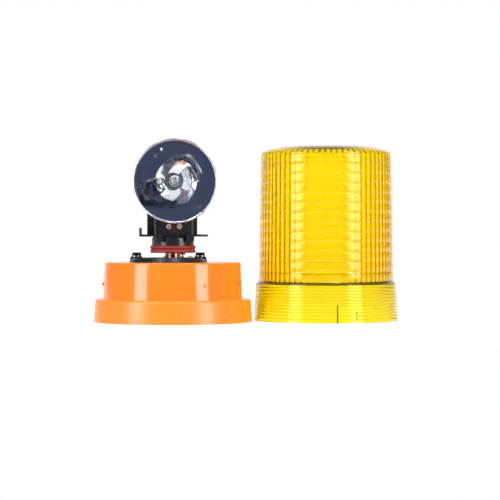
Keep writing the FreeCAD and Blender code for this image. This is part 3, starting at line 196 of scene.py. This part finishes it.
def layFloor():
    # a white table that keeps only a faint shadow
    reach, front = studio["tableReach"], studio["tableFront"]
    mesh = bpy.data.meshes.new("table")
    mesh.from_pydata([(-reach, -front, 0), (reach, -front, 0), (reach, reach, 0), (-reach, reach, 0)], [],
                     [(0, 1, 2, 3)])
    table = bpy.data.objects.new("table", mesh)
    table.location.z = -studio["tableDrop"] * mm
    scene.collection.objects.link(table)
    material = bpy.data.materials.new("whiteTable")
    material.use_nodes = True
    tree = material.node_tree
    tree.nodes.remove(tree.nodes["Principled BSDF"])
    ray = addNode(tree, "LightPath").outputs
    shown = addNode(tree, "Math", {0: ray["Is Camera Ray"], 1: ray["Is Glossy Ray"]}, operation="MAXIMUM")
    shown = addNode(tree, "Math", {0: shown.outputs[0], 1: ray["Is Transmission Ray"]}, operation="MAXIMUM")
    level = addNode(tree, "MapRange", {0: shown.outputs[0], 3: studio["tableFill"], 4: studio["tableGlow"]})
    glow = addNode(tree, "Emission", {"Color": (1, 1, 1, 1), "Strength": level.outputs[0]})
    grey = studio["tableGrey"]
    matt = addNode(tree, "BsdfDiffuse", {"Color": (grey, grey, grey, 1)})
    both = addNode(tree, "AddShader", {0: glow.outputs[0], 1: matt.outputs[0]})
    tree.links.new(both.outputs[0], tree.nodes["Material Output"].inputs["Surface"])
    mesh.materials.append(material)


scene.view_settings.view_transform = "Standard"
placeCamera()
for name, strip in studio["strips"].items():
    hangStrip(name, *strip)
lightWorld()
layFloor()
print("camera, lamps and table placed")


def gridMesh(name, points, sharpAngle=35):
    # a surface from rows of points; every row closes on itself round the piece
    rows, columns = points.shape[:2]
    ring = np.arange(columns)
    following = (ring + 1) % columns
    start = np.arange(rows - 1)[:, None] * columns
    above = start + columns
    quads = np.stack([start + ring, start + following, above + following, above + ring], -1)
    mesh = bpy.data.meshes.new(name)
    mesh.from_pydata(points.reshape(-1, 3), [], quads.reshape(-1, 4))
    mesh.validate()
    return finishMesh(name, mesh, sharpAngle)


def finishMesh(name, mesh, sharpAngle):
    # doubles at poles and seams merged, smooth faces with crisp edges past an angle
    work = bmesh.new()
    work.from_mesh(mesh)
    bmesh.ops.remove_doubles(work, verts=work.verts, dist=1e-6)
    bmesh.ops.dissolve_degenerate(work, edges=work.edges, dist=1e-7)
    bmesh.ops.recalc_face_normals(work, faces=work.faces)
    work.to_mesh(mesh)
    work.free()
    mesh.shade_smooth()
    mesh.set_sharp_from_angle(angle=math.radians(sharpAngle))
    piece = bpy.data.objects.new(name, mesh)
    scene.collection.objects.link(piece)
    return piece


def rounded(corners, steps=4):
    # an outline of (r, z, radius) corners, each with a radius replaced by its tangent arc
    corners = [np.array(corner, float) for corner in corners]
    outline = []
    for before, corner, after in zip([corners[-1]] + corners[:-1], corners, corners[1:] + corners[:1]):
        here, radius = corner[:2], corner[2]
        if radius == 0:
            outline.append(here)
            continue
        back = (before[:2] - here) / np.linalg.norm(before[:2] - here)
        onward = (after[:2] - here) / np.linalg.norm(after[:2] - here)
        half = math.acos(np.clip(back @ onward, -1, 1)) / 2
        middle = back + onward
        centre = here + middle / np.linalg.norm(middle) * radius / math.sin(half)
        first = here + back * radius / math.tan(half) - centre
        last = here + onward * radius / math.tan(half) - centre
        share = np.linspace(0, 1, steps)[:, None]
        arc = first * (1 - share) + last * share
        outline.extend(centre + arc / np.linalg.norm(arc, axis=1)[:, None] * radius)
    return np.array(outline)


def turned(profile, segments):
    # the surface of revolution: each (r, z) of the profile goes once round the Z axis
    angle = np.linspace(0, 2 * math.pi, segments, endpoint=False)
    radius, height = profile[:, 0, None], profile[:, 1, None]
    return np.stack([radius * np.cos(angle), radius * np.sin(angle), height + 0 * angle], -1)


def carryRing(path, radius, sides):
    # a tube: a ring of points in the plane across the path at each of its points
    ahead = np.gradient(path, axis=0)
    ahead /= np.linalg.norm(ahead, axis=1)[:, None]
    guide = np.where(np.abs(ahead[:, 2:3]) < 0.9, [[0.0, 0.0, 1.0]], [[1.0, 0.0, 0.0]])
    side = np.cross(ahead, guide)
    side /= np.linalg.norm(side, axis=1)[:, None]
    top = np.cross(side, ahead)
    angle = np.linspace(0, 2 * math.pi, sides, endpoint=False)
    ring = np.cos(angle)[None, :, None] * side[:, None] + np.sin(angle)[None, :, None] * top[:, None]
    tube = path[:, None] + radius * ring
    ends = [np.repeat(path[:1, None], sides, 1), np.repeat(path[-1:, None], sides, 1)]
    return np.concatenate([ends[0], tube, ends[1]])


# the lamp's own directions: across is the clip's pin, ahead is where the light leaves
clipPin = np.array(next(joint["axis"] for joint in frame["joints"] if joint["name"] == "lamp_clip_swing"))
across = -clipPin
upward = np.array([0.0, 0.0, 1.0])
ahead = np.cross(across, upward)
dishLow, dishHigh = [np.array(corner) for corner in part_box("reflector")]
lampCentre = np.array([0.0, 0.0, (dishLow[2] + dishHigh[2]) / 2])


def onLampAxis(points):
    # points drawn with Z along the light's way, put onto the rotor
    return lampCentre + points @ np.array([across, upward, ahead])


def dress(material, *names):
    # one material for nodes that keep their own mesh
    for name in names:
        nodes[name].data.materials.clear()
        nodes[name].data.materials.append(material)


def addPiece(piece, body, slot, material, *replaced):
    # a new mesh rides on its body and stands for the nodes that it replaces
    piece.data.materials.append(material)
    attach(piece, body)
    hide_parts(*replaced)
    return piece


# amber polycarbonate, injection moulded and polished: clear, so depth of wall turns yellow into orange
domeShape = {
    "segments": 384, "turn": 45.0,
    # roof: a crown that falls towards a small round
    "height": 178.0, "top": 66.7, "roof": 3.5, "crownDrop": 7.0, "crownPower": 6,
    "roofRows": 22, "roofCrowding": 0.6, "rimDrop": 1.2, "rimInset": 0.42, "rimFall": 0.12, "rimLap": 0.02,
    # wall: bulging bands parted by fine grooves outside, flutes inside
    "body": 69.0, "prisms": 13, "pitch": 9.8, "depth": 0.26, "crest": 0.03, "groove": 0.12, "bandRows": 5,
    "flutes": 64, "tip": 63.3, "root": 64.2, "seat": 39.6, "seatLap": 0.3, "seatStep": 0.4, "wallRows": 24,
    "cornerFoot": 1.2, "corner": ((0.24, 0.35), (0.64, 0.0)),  # inset and drop where the wall meets the roof
    "rays": 1.2, "raysFrom": 48.0, "raysInset": 1.5, "raysRows": 22,
    # collar: fine rings outside, a socket with three bayonet tracks inside
    "collarFoot": 74.0, "collarTop": 71.9, "collarHeight": 38.5, "shoulder": 2.5, "shoulderLift": 0.05,
    "collarRound": 1.2, "collarCut": 0.35, "footRound": 0.3,
    "rings": 12, "ringDepth": 0.22, "ringBulge": 0.06, "ringLand": 0.1,
    "socketFoot": 71.2, "socketTop": 70.2, "socketHeight": 37.0, "socketRows": 14,
    "track": 1.5, "trackHalf": 2.6, "trackHeight": 15.0, "trackRamp": 0.1,
    "tracks": 3, "entryAngle": 8.0, "runAngle": 26.0,
}


def crownAt(radius):
    # the roof's height, less a drop that grows with the sixth power of the radius
    d = domeShape
    return d["height"] - d["crownDrop"] * (radius / d["top"]) ** d["crownPower"]


def domeOutside():
    # from the middle of the roof, over its round, down the bands and the ringed collar to the foot;
    # a band sinks from its middle by depth times the square of the distance, counted in half bands
    d = domeShape
    first = d["collarHeight"] + d["shoulder"]
    slope = (d["body"] - d["top"]) / (d["height"] - first)
    across = (d["top"] - d["rimDrop"]) * np.linspace(0, 1, d["roofRows"]) ** d["roofCrowding"]
    roof = np.stack([across, crownAt(across)], 1)
    brow = crownAt(d["top"])
    rim = np.array([[d["top"] - d["rimInset"], brow - d["rimFall"]],
                    [d["top"] + d["rimLap"], brow - d["rimDrop"]]])
    level = np.arange(d["prisms"])[::-1, None] * d["pitch"] + first
    along = np.concatenate([[1.0], np.linspace(1 - d["crest"], d["crest"], d["bandRows"])])
    height = (level + along * d["pitch"]).ravel()
    bulge = d["depth"] * (2 * along - 1) ** 2
    bulge[0] += d["groove"]
    bands = np.stack([d["body"] - (height - first) * slope - np.tile(bulge, d["prisms"]), height], 1)
    ledge = d["collarHeight"]
    shoulder = np.array([[d["body"] - d["depth"], first],
                         [d["collarTop"] - d["collarRound"], ledge + d["shoulderLift"]],
                         [d["collarTop"] - d["collarCut"], ledge - d["collarCut"]],
                         [d["collarTop"], ledge - d["collarRound"]]])
    pitch = (ledge - d["collarRound"] - d["footRound"]) / d["rings"]
    level = d["footRound"] + np.arange(d["rings"])[::-1, None] * pitch
    height = (level + pitch * np.array([1 - d["ringLand"], 0.5, d["ringLand"], 0])).ravel()
    sunk = np.tile([0, -d["ringBulge"], 0, d["ringDepth"]], d["rings"])
    sunk[-1] = 0
    radius = d["collarFoot"] + (d["collarTop"] - d["collarFoot"]) * height / ledge - sunk
    end = np.array([[d["collarFoot"] - d["footRound"], 0.0], [d["socketFoot"] + d["footRound"], 0.0]])
    return np.vstack([roof, rim, bands, shoulder, np.stack([radius, height], 1), end])


def socketPoints(angle):
    # the socket's radius falls evenly upwards; a track sinks it where an upright entry or a level run passes
    d = domeShape
    ramp = d["trackHalf"] + np.array([-d["trackRamp"], d["trackRamp"]])
    rise = np.linspace(d["footRound"], d["socketHeight"], d["socketRows"])
    rise = np.unique(np.concatenate([rise, d["trackHeight"] - ramp, d["trackHeight"] + ramp]))[:, None]
    share = 360 / d["tracks"]
    within = (np.degrees(angle) + share / 2) % share - share / 2
    entry = np.abs(within) < d["entryAngle"]
    run = (within > -d["entryAngle"]) & (within < d["runAngle"])
    inRun = np.abs(rise - d["trackHeight"]) < d["trackHalf"]
    inEntry = rise < d["trackHeight"] + d["trackHalf"]
    sunk = d["track"] * ((inRun & run) | (inEntry & entry))
    radius = d["socketFoot"] + (d["socketTop"] - d["socketFoot"]) * rise / d["socketHeight"] + sunk
    return np.stack([radius * np.cos(angle), radius * np.sin(angle), rise + 0 * angle], -1)


def domePoints():
    # the closed shell: outside, then up the socket, the fluted wall and the underside of the roof;
    # a flute goes from tip to root with the size of a cosine of the angle
    d = domeShape
    angle = np.linspace(0, 2 * math.pi, d["segments"], endpoint=False)
    ridge = np.abs(np.cos(angle * d["flutes"] / 2))
    flute = d["tip"] + (d["root"] - d["tip"]) * ridge
    ceiling = crownAt(d["tip"]) - d["roof"]
    wallZ = np.linspace(d["seat"] + d["seatStep"], ceiling - d["cornerFoot"], d["wallRows"])
    steps = [(-d["seatLap"], d["seat"])] + [(0, height) for height in wallZ]
    steps += [(inset, ceiling - drop) for inset, drop in d["corner"]]
    inset, height = np.array(steps).T[..., None]
    radius = flute - inset
    wall = np.stack([radius * np.cos(angle), radius * np.sin(angle), height + 0 * angle], -1)
    inner = np.linspace(d["tip"] - d["raysInset"], 0, d["raysRows"])
    under = turned(np.stack([inner, crownAt(inner) - d["roof"]], 1), d["segments"])
    fade = np.clip((inner[:, None] - d["raysFrom"]) / (d["tip"] - d["raysFrom"]), 0, 1)
    under[..., 2] += d["rays"] * fade * ridge  # the flutes run on a little under the edge of the roof
    return np.concatenate([turned(domeOutside(), d["segments"]), socketPoints(angle), wall, under])


def amberPolycarbonate():
    # deep clear yellow with a warm gloss; the wall absorbs blue first, then green
    material, tree, shader = newMaterial("amberPolycarbonate", Transmission_Weight=0.94, IOR=1.48,
                                         Specular_IOR_Level=0.25, Specular_Tint=linear("#ffe6c4"))
    place = objectPlace(tree)
    tintBetween(tree, shader, noiseAt(tree, place, 60 * mm), "#fff83a", "#fff534")
    roughBetween(tree, shader, noiseAt(tree, place, 9 * mm), 0.02, 0.07)
    raiseRelief(tree, shader, noiseAt(tree, place, 14 * mm), 0.03 * mm)  # faint flow waves of the moulding
    absorb = addNode(tree, "VolumeAbsorption", {"Color": (1.0, 0.92, 0.1, 1), "Density": 400.0})
    tree.links.new(absorb.outputs[0], tree.nodes["Material Output"].inputs["Volume"])
    return material


def makeDome():
    # the finished shell is turned about its own axis and set where the frame has it
    low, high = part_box("dome")
    centre = np.array([(low[0] + high[0]) / 2, (low[1] + high[1]) / 2, 0.0])
    turn = math.radians(domeShape["turn"])
    spin = np.array([[math.cos(turn), math.sin(turn), 0], [-math.sin(turn), math.cos(turn), 0], [0, 0, 1]])
    points = domePoints() * mm @ spin + centre
    addPiece(gridMesh("domeLens", points), "dome", "amber_plastic", amberPolycarbonate(), "dome")


makeDome()
print("dome made")

# aluminium dish, spun and vacuum coated: a clear mirror with a faint ripple from the spinning
dishShape = {
    "mouth": 41.5, "outer": 42.5, "depth": 29.5, "wall": 1.2, "neck": 9.0, "neckLap": 0.05, "focus": 12.7,
    "bead": 0.55, "frontInset": 0.6, "backInset": 0.4, "sharpAngle": 50,
    "segments": 256, "frontRows": 48, "beadRows": 12, "backRows": 30,
    # two bosses that carry the dish on its panel
    "bossReach": 19.0, "bossRadius": 3.2, "bossRound": 0.3, "bossTop": 10.2, "bossSides": 32,
    "panelFront": 8.5, "pole": 0.001,
}


def makeReflector():
    # a paraboloid: height is the radius squared over four focal lengths, and its back lies one wall behind
    d = dishShape
    fourFocal = d["mouth"] ** 2 / d["depth"]
    vertex = d["focus"] - fourFocal / 4
    mouth = vertex + d["depth"]
    neck, bead = d["neck"] + d["neckLap"], d["bead"]
    radius = np.linspace(neck, d["mouth"] - d["frontInset"], d["frontRows"])
    bowl = np.stack([radius, radius ** 2 / fourFocal + vertex], 1)
    bend = np.linspace(math.pi, -math.pi / 2, d["beadRows"])
    rim = np.stack([d["outer"] - bead + bead * np.cos(bend), mouth - bead + bead * np.sin(bend)], 1)
    back = np.linspace(d["mouth"] - d["backInset"], neck, d["backRows"])
    shell = np.stack([back, back ** 2 / fourFocal + vertex - d["wall"]], 1)
    profile = np.vstack([bowl, rim, shell, bowl[:1]]) * mm
    dish = gridMesh("reflectorDish", onLampAxis(turned(profile, d["segments"])), d["sharpAngle"])
    bosses = []
    for side in (-1, 1):
        outline = rounded([(d["pole"], -d["panelFront"], 0),
                           (d["bossRadius"], -d["panelFront"], d["bossRound"]),
                           (d["bossRadius"], d["bossTop"], 0), (d["pole"], d["bossTop"], 0)])
        place = np.array([side * d["bossReach"], -d["bossReach"], 0])
        boss = (turned(outline, d["bossSides"]) + place) * mm
        bosses.append(gridMesh("reflectorBoss", onLampAxis(boss)))
    with bpy.context.temp_override(active_object=dish, selected_editable_objects=[dish] + bosses):
        bpy.ops.object.join()
    addPiece(dish, "rotor", "reflector_metal", coatedAluminium(), "reflector")


def coatedAluminium():
    # a bright mirror, slightly cool, whose reflections bend a little over the ripple
    material, tree, shader = newMaterial("coatedAluminium", Metallic=1.0, Roughness=0.03)
    place = objectPlace(tree)
    tintBetween(tree, shader, noiseAt(tree, place, 20 * mm), "#e9ebf2", "#dfe3ee")
    roughBetween(tree, shader, noiseAt(tree, place, 5 * mm, 3), 0.015, 0.05)
    raiseRelief(tree, shader, noiseAt(tree, place, 24 * mm, 1, 0.1, 0.9), 0.14 * mm)
    return material


makeReflector()
print("reflector made")

# halogen capsule: quartz drawn to a round end, with a coiled tungsten filament on two posts
lampShape = {
    "radius": 5.75, "wall": 1.0, "foot": -6.0, "tip": 29.7, "tipRound": 5.0, "tipRows": 12,
    "segments": 64, "sharpAngle": 50,
    "focus": 12.7, "coil": 0.75, "coilLength": 5.0, "turns": 11, "turnSteps": 12,
    "wire": 0.14, "wireSides": 6, "post": 0.3, "postGap": 2.0, "postSides": 12,
    "postBend": ((0.0, 0.6), (0.2, 0.15), (0.6, 0.0)),  # how far in and how far down each corner lies
}


def quartzGlass():
    # fused and drawn: colourless, clear and quite smooth
    material, tree, shader = newMaterial("quartzGlass", Transmission_Weight=1.0, IOR=1.46, Roughness=0.0)
    place = objectPlace(tree)
    tintBetween(tree, shader, noiseAt(tree, place, 8 * mm), "#ffffff", "#f4f8ff")
    roughBetween(tree, shader, noiseAt(tree, place, 2 * mm), 0.0, 0.02)
    return material


def drawnTungsten():
    # wire drawn through dies: dull grey metal with a soft gleam
    material, tree, shader = newMaterial("drawnTungsten", Metallic=1.0)
    place = objectPlace(tree)
    tintBetween(tree, shader, noiseAt(tree, place, 1 * mm), "#77787e", "#54555b")
    roughBetween(tree, shader, noiseAt(tree, place, 0.4 * mm), 0.25, 0.4)
    return material


def makeLamp():
    # the capsule is a cylinder under a quarter ellipse; the filament is a helix about the light's way
    s = lampShape
    bend = np.linspace(0, math.pi / 2, s["tipRows"])
    dome = np.stack([s["radius"] * np.cos(bend), s["tip"] + s["tipRound"] * (np.sin(bend) - 1)], 1)
    outer = np.vstack([[[s["radius"], s["foot"]]], dome])
    inner = outer[::-1] * [1 - s["wall"] / s["radius"], 1] - [0, s["wall"]]
    inner[-1, 1] = s["foot"]
    profile = np.vstack([outer, inner, outer[:1]])
    glass = gridMesh("lampCapsule", onLampAxis(turned(profile * mm, s["segments"])), s["sharpAngle"])
    addPiece(glass, "rotor", "quartz", quartzGlass(), "lamp_glass")
    along = np.linspace(0, 1, s["turns"] * s["turnSteps"])
    angle = along * s["turns"] * 2 * math.pi
    coil = np.stack([s["coil"] * np.cos(angle), s["coil"] * np.sin(angle),
                     s["focus"] + (along - 0.5) * s["coilLength"]], 1)
    filament = gridMesh("filamentCoil", onLampAxis(carryRing(coil, s["wire"], s["wireSides"]) * mm))
    posts = []
    for side in (-1, 1):
        top = s["focus"] + side * s["coilLength"] / 2
        corners = [(s["postGap"] - inset, top - drop) for inset, drop in s["postBend"]]
        corners = [(s["postGap"], s["foot"])] + corners + [(s["coil"], top)]
        path = np.array([(side * reach, 0, height) for reach, height in corners])
        posts.append(gridMesh("filamentPost", onLampAxis(carryRing(path, s["post"], s["postSides"]) * mm)))
    with bpy.context.temp_override(active_object=filament, selected_editable_objects=[filament] + posts):
        bpy.ops.object.join()
    addPiece(filament, "rotor", "tungsten", drawnTungsten(), "lamp_filament")


makeLamp()
print("lamp made")


baseFinish = {"ringTop": 22.0, "towerFoot": 24.0}  # the heights between which the finish changes


def orangePolypropylene():
    # injection moulded: glossy tower, the ring round the foot a little more satin from handling
    material, tree, shader = newMaterial("orangePolypropylene", IOR=1.49, Specular_IOR_Level=0.6)
    place = objectPlace(tree)
    height = addNode(tree, "SeparateXYZ", {0: place}).outputs["Z"]
    upper = addNode(tree, "MapRange", {0: height, 1: baseFinish["ringTop"] * mm,
                                       2: baseFinish["towerFoot"] * mm})
    tintBetween(tree, shader, upper.outputs[0], "#ff8c28", "#ee8222")
    scuff = noiseAt(tree, place, 6 * mm, 4)
    low = addNode(tree, "MapRange", {0: scuff, 3: 0.24, 4: 0.32})
    high = addNode(tree, "MapRange", {0: scuff, 3: 0.1, 4: 0.16})
    rough = addNode(tree, "Mix", {0: upper.outputs[0], 2: low.outputs[0], 3: high.outputs[0]},
                    data_type="FLOAT")
    tree.links.new(rough.outputs[0], shader.inputs["Roughness"])
    raiseRelief(tree, shader, noiseAt(tree, place, 18 * mm, 1), 0.02 * mm)  # sink marks, hardly visible
    return material


def mouldedRubber(name, first, second):
    # pressed in a matt tool: a soft sheen and fine grain
    material, tree, shader = newMaterial(name, IOR=1.5)
    place = objectPlace(tree)
    tintBetween(tree, shader, noiseAt(tree, place, 12 * mm), first, second)
    roughBetween(tree, shader, noiseAt(tree, place, 1.5 * mm, 3), 0.42, 0.6)
    raiseRelief(tree, shader, noiseAt(tree, place, 0.6 * mm, 2), 0.02 * mm)
    return material


def blackEnamel():
    # stoved satin black on cut sheet steel: slight orange peel
    material, tree, shader = newMaterial("blackEnamel", IOR=1.5)
    place = objectPlace(tree)
    tintBetween(tree, shader, noiseAt(tree, place, 15 * mm, 3), "#12141c", "#1c1a20")
    roughBetween(tree, shader, noiseAt(tree, place, 4 * mm, 3), 0.25, 0.38)
    raiseRelief(tree, shader, noiseAt(tree, place, 1.2 * mm, 1), 0.02 * mm)
    return material


def zincPlate():
    # bright zinc on turned steel: clear reflections with a faint yellow and blue cast
    material, tree, shader = newMaterial("zincPlate", Metallic=1.0)
    place = objectPlace(tree)
    tintBetween(tree, shader, noiseAt(tree, place, 2 * mm, 2), "#c9c8c2", "#b7bcc6")
    roughBetween(tree, shader, noiseAt(tree, place, 0.8 * mm, 3), 0.15, 0.32)
    return material


def blackOxide():
    # hardened screws, dipped: dark metal that still glints
    material, tree, shader = newMaterial("blackOxide", Metallic=0.6)
    place = objectPlace(tree)
    tintBetween(tree, shader, noiseAt(tree, place, 2 * mm, 2), "#1b191c", "#262226")
    roughBetween(tree, shader, noiseAt(tree, place, 0.7 * mm, 3), 0.28, 0.45)
    return material


def turnedBrass():
    # bar stock turned on a lathe: fine rings round the axis, slightly dulled
    material, tree, shader = newMaterial("turnedBrass", Metallic=1.0)
    rings = noiseAt(tree, objectPlace(tree, stretch=(0.05, 0.05, 1)), 0.25 * mm, 1)
    patina = noiseAt(tree, objectPlace(tree), 5 * mm, 3)
    tintBetween(tree, shader, patina, "#a3826f", "#7d6255")
    roughBetween(tree, shader, rings, 0.18, 0.34)
    raiseRelief(tree, shader, rings, 0.01 * mm)
    return material


def naturalNylon():
    # moulded natural nylon: waxy off-white that lets a little light in
    material, tree, shader = newMaterial("naturalNylon", IOR=1.53, Subsurface_Weight=0.15,
                                         Subsurface_Scale=2 * mm)
    place = objectPlace(tree)
    tintBetween(tree, shader, noiseAt(tree, place, 10 * mm), "#e6e2d3", "#ddd7c4")
    roughBetween(tree, shader, noiseAt(tree, place, 2 * mm, 2), 0.3, 0.42)
    return material


def cableSleeve(name, first, second):
    # extruded PVC: smooth, with a faint waviness along the wire
    material, tree, shader = newMaterial(name, IOR=1.53)
    place = objectPlace(tree)
    tintBetween(tree, shader, noiseAt(tree, place, 6 * mm), first, second)
    roughBetween(tree, shader, noiseAt(tree, place, 1.5 * mm), 0.28, 0.4)
    return material


def sinteredBronze():
    # pressed and oil soaked powder metal: brown, finely pitted
    material, tree, shader = newMaterial("sinteredBronze", Metallic=0.85)
    place = objectPlace(tree)
    pits = noiseAt(tree, place, 0.3 * mm, 2)
    tintBetween(tree, shader, pits, "#7d5c3d", "#9a7550")
    roughBetween(tree, shader, pits, 0.35, 0.5)
    raiseRelief(tree, shader, pits, 0.03 * mm)
    return material


def blackCasting():
    # die casting with a semi-gloss black coat, turned true on the outside
    material, tree, shader = newMaterial("blackCasting", IOR=1.5)
    place = objectPlace(tree)
    tintBetween(tree, shader, noiseAt(tree, place, 10 * mm, 3), "#1d1b26", "#17141b")
    roughBetween(tree, shader, noiseAt(tree, place, 3 * mm, 3), 0.2, 0.3)
    raiseRelief(tree, shader, noiseAt(tree, objectPlace(tree, stretch=(0.1, 0.1, 1)), 0.6 * mm, 1), 0.01 * mm)
    return material


def varnishedPaper():
    # brown paper laminate, sawn and varnished: long fibres under a gloss
    material, tree, shader = newMaterial("varnishedPaper", IOR=1.5)
    fibres = noiseAt(tree, objectPlace(tree, stretch=(1, 1, 0.15)), 0.5 * mm, 3)
    tintBetween(tree, shader, fibres, "#43231f", "#351a17")
    roughBetween(tree, shader, noiseAt(tree, objectPlace(tree), 3 * mm), 0.22, 0.34)
    return material


def tinnedBrass():
    # stamped and tinned: bright and soft edged
    material, tree, shader = newMaterial("tinnedBrass", Metallic=1.0)
    place = objectPlace(tree)
    tintBetween(tree, shader, noiseAt(tree, place, 2 * mm, 2), "#dedbd3", "#c7c3ba")
    roughBetween(tree, shader, noiseAt(tree, place, 0.6 * mm, 3), 0.34, 0.48)
    return material


def rolledBronze():
    # spring strip: rolling lines along its length
    material, tree, shader = newMaterial("rolledBronze", Metallic=1.0)
    lines = noiseAt(tree, objectPlace(tree, stretch=(1, 1, 0.08)), 0.3 * mm, 2)
    tintBetween(tree, shader, lines, "#b98a5e", "#a87a50")
    roughBetween(tree, shader, lines, 0.2, 0.32)
    return material


def drawnSteel(name, first, second, low, high):
    # drawn or ground steel with a dull plate: fine lines along the draw
    material, tree, shader = newMaterial(name, Metallic=1.0)
    lines = noiseAt(tree, objectPlace(tree, stretch=(1, 1, 0.06)), 0.4 * mm, 2)
    tintBetween(tree, shader, lines, first, second)
    roughBetween(tree, shader, lines, low, high)
    return material


def grainedCover():
    # moulded in a spark-eroded tool: even fine grain
    material, tree, shader = newMaterial("grainedCover", IOR=1.5)
    place = objectPlace(tree)
    grain = noiseAt(tree, place, 0.8 * mm, 2)
    tintBetween(tree, shader, noiseAt(tree, place, 20 * mm), "#1c1c1e", "#161618")
    roughBetween(tree, shader, grain, 0.5, 0.65)
    raiseRelief(tree, shader, grain, 0.05 * mm)
    return material


dress(orangePolypropylene(), "base_housing")
dress(mouldedRubber("blackRubber", "#1a1a1b", "#121213"), "base_gasket", "cable_grommet", "plate_grommets",
      "dome_seal")
dress(mouldedRubber("redSilicone", "#9a2b23", "#84251f"), "friction_ring")
dress(grainedCover(), "bottom_cover", "motor_end_cap")
dress(zincPlate(), "cover_screws", "plate_washers", "motor_screws", "drum_screws", "reflector_screws",
      "spindle_circlip", "motor_shaft")
dress(blackOxide(), "plate_screws")
dress(turnedBrass(), "mounting_inserts", "spindle", "centre_contact_pin", "terminal_screws",
      "motor_terminals")
dress(blackEnamel(), "mounting_plate", "carrier_plate", "bracket_panel", "bracket_channel")
dress(drawnSteel("motorCanSteel", "#b9bbbd", "#a4a6a9", 0.25, 0.38), "motor_can")
dress(drawnSteel("rollerSteel", "#6d6e72", "#5c5d61", 0.2, 0.3), "drive_roller")
dress(drawnSteel("nickelPlate", "#c4c2bc", "#b2afa8", 0.18, 0.3), "lamp_holder", "lamp_base")
dress(drawnSteel("springWire", "#a2a3a6", "#8c8d90", 0.2, 0.3), "lamp_clip")
dress(naturalNylon(), "terminal_block", "spindle_insulator", "thrust_washer")
dress(cableSleeve("blackLead", "#161617", "#0f0f10"), "motor_leads")
dress(cableSleeve("redLead", "#9c1c18", "#861713"), "lamp_feed_lead", "lamp_lead")
dress(sinteredBronze(), "drum_bush")
dress(blackCasting(), "rotor_drum")
dress(varnishedPaper(), "insulator_tongue", "insulator_backing")
dress(tinnedBrass(), "contact_rivets", "lamp_connector", "lamp_spade")
dress(rolledBronze(), "contact_leaf")
print("materials given")
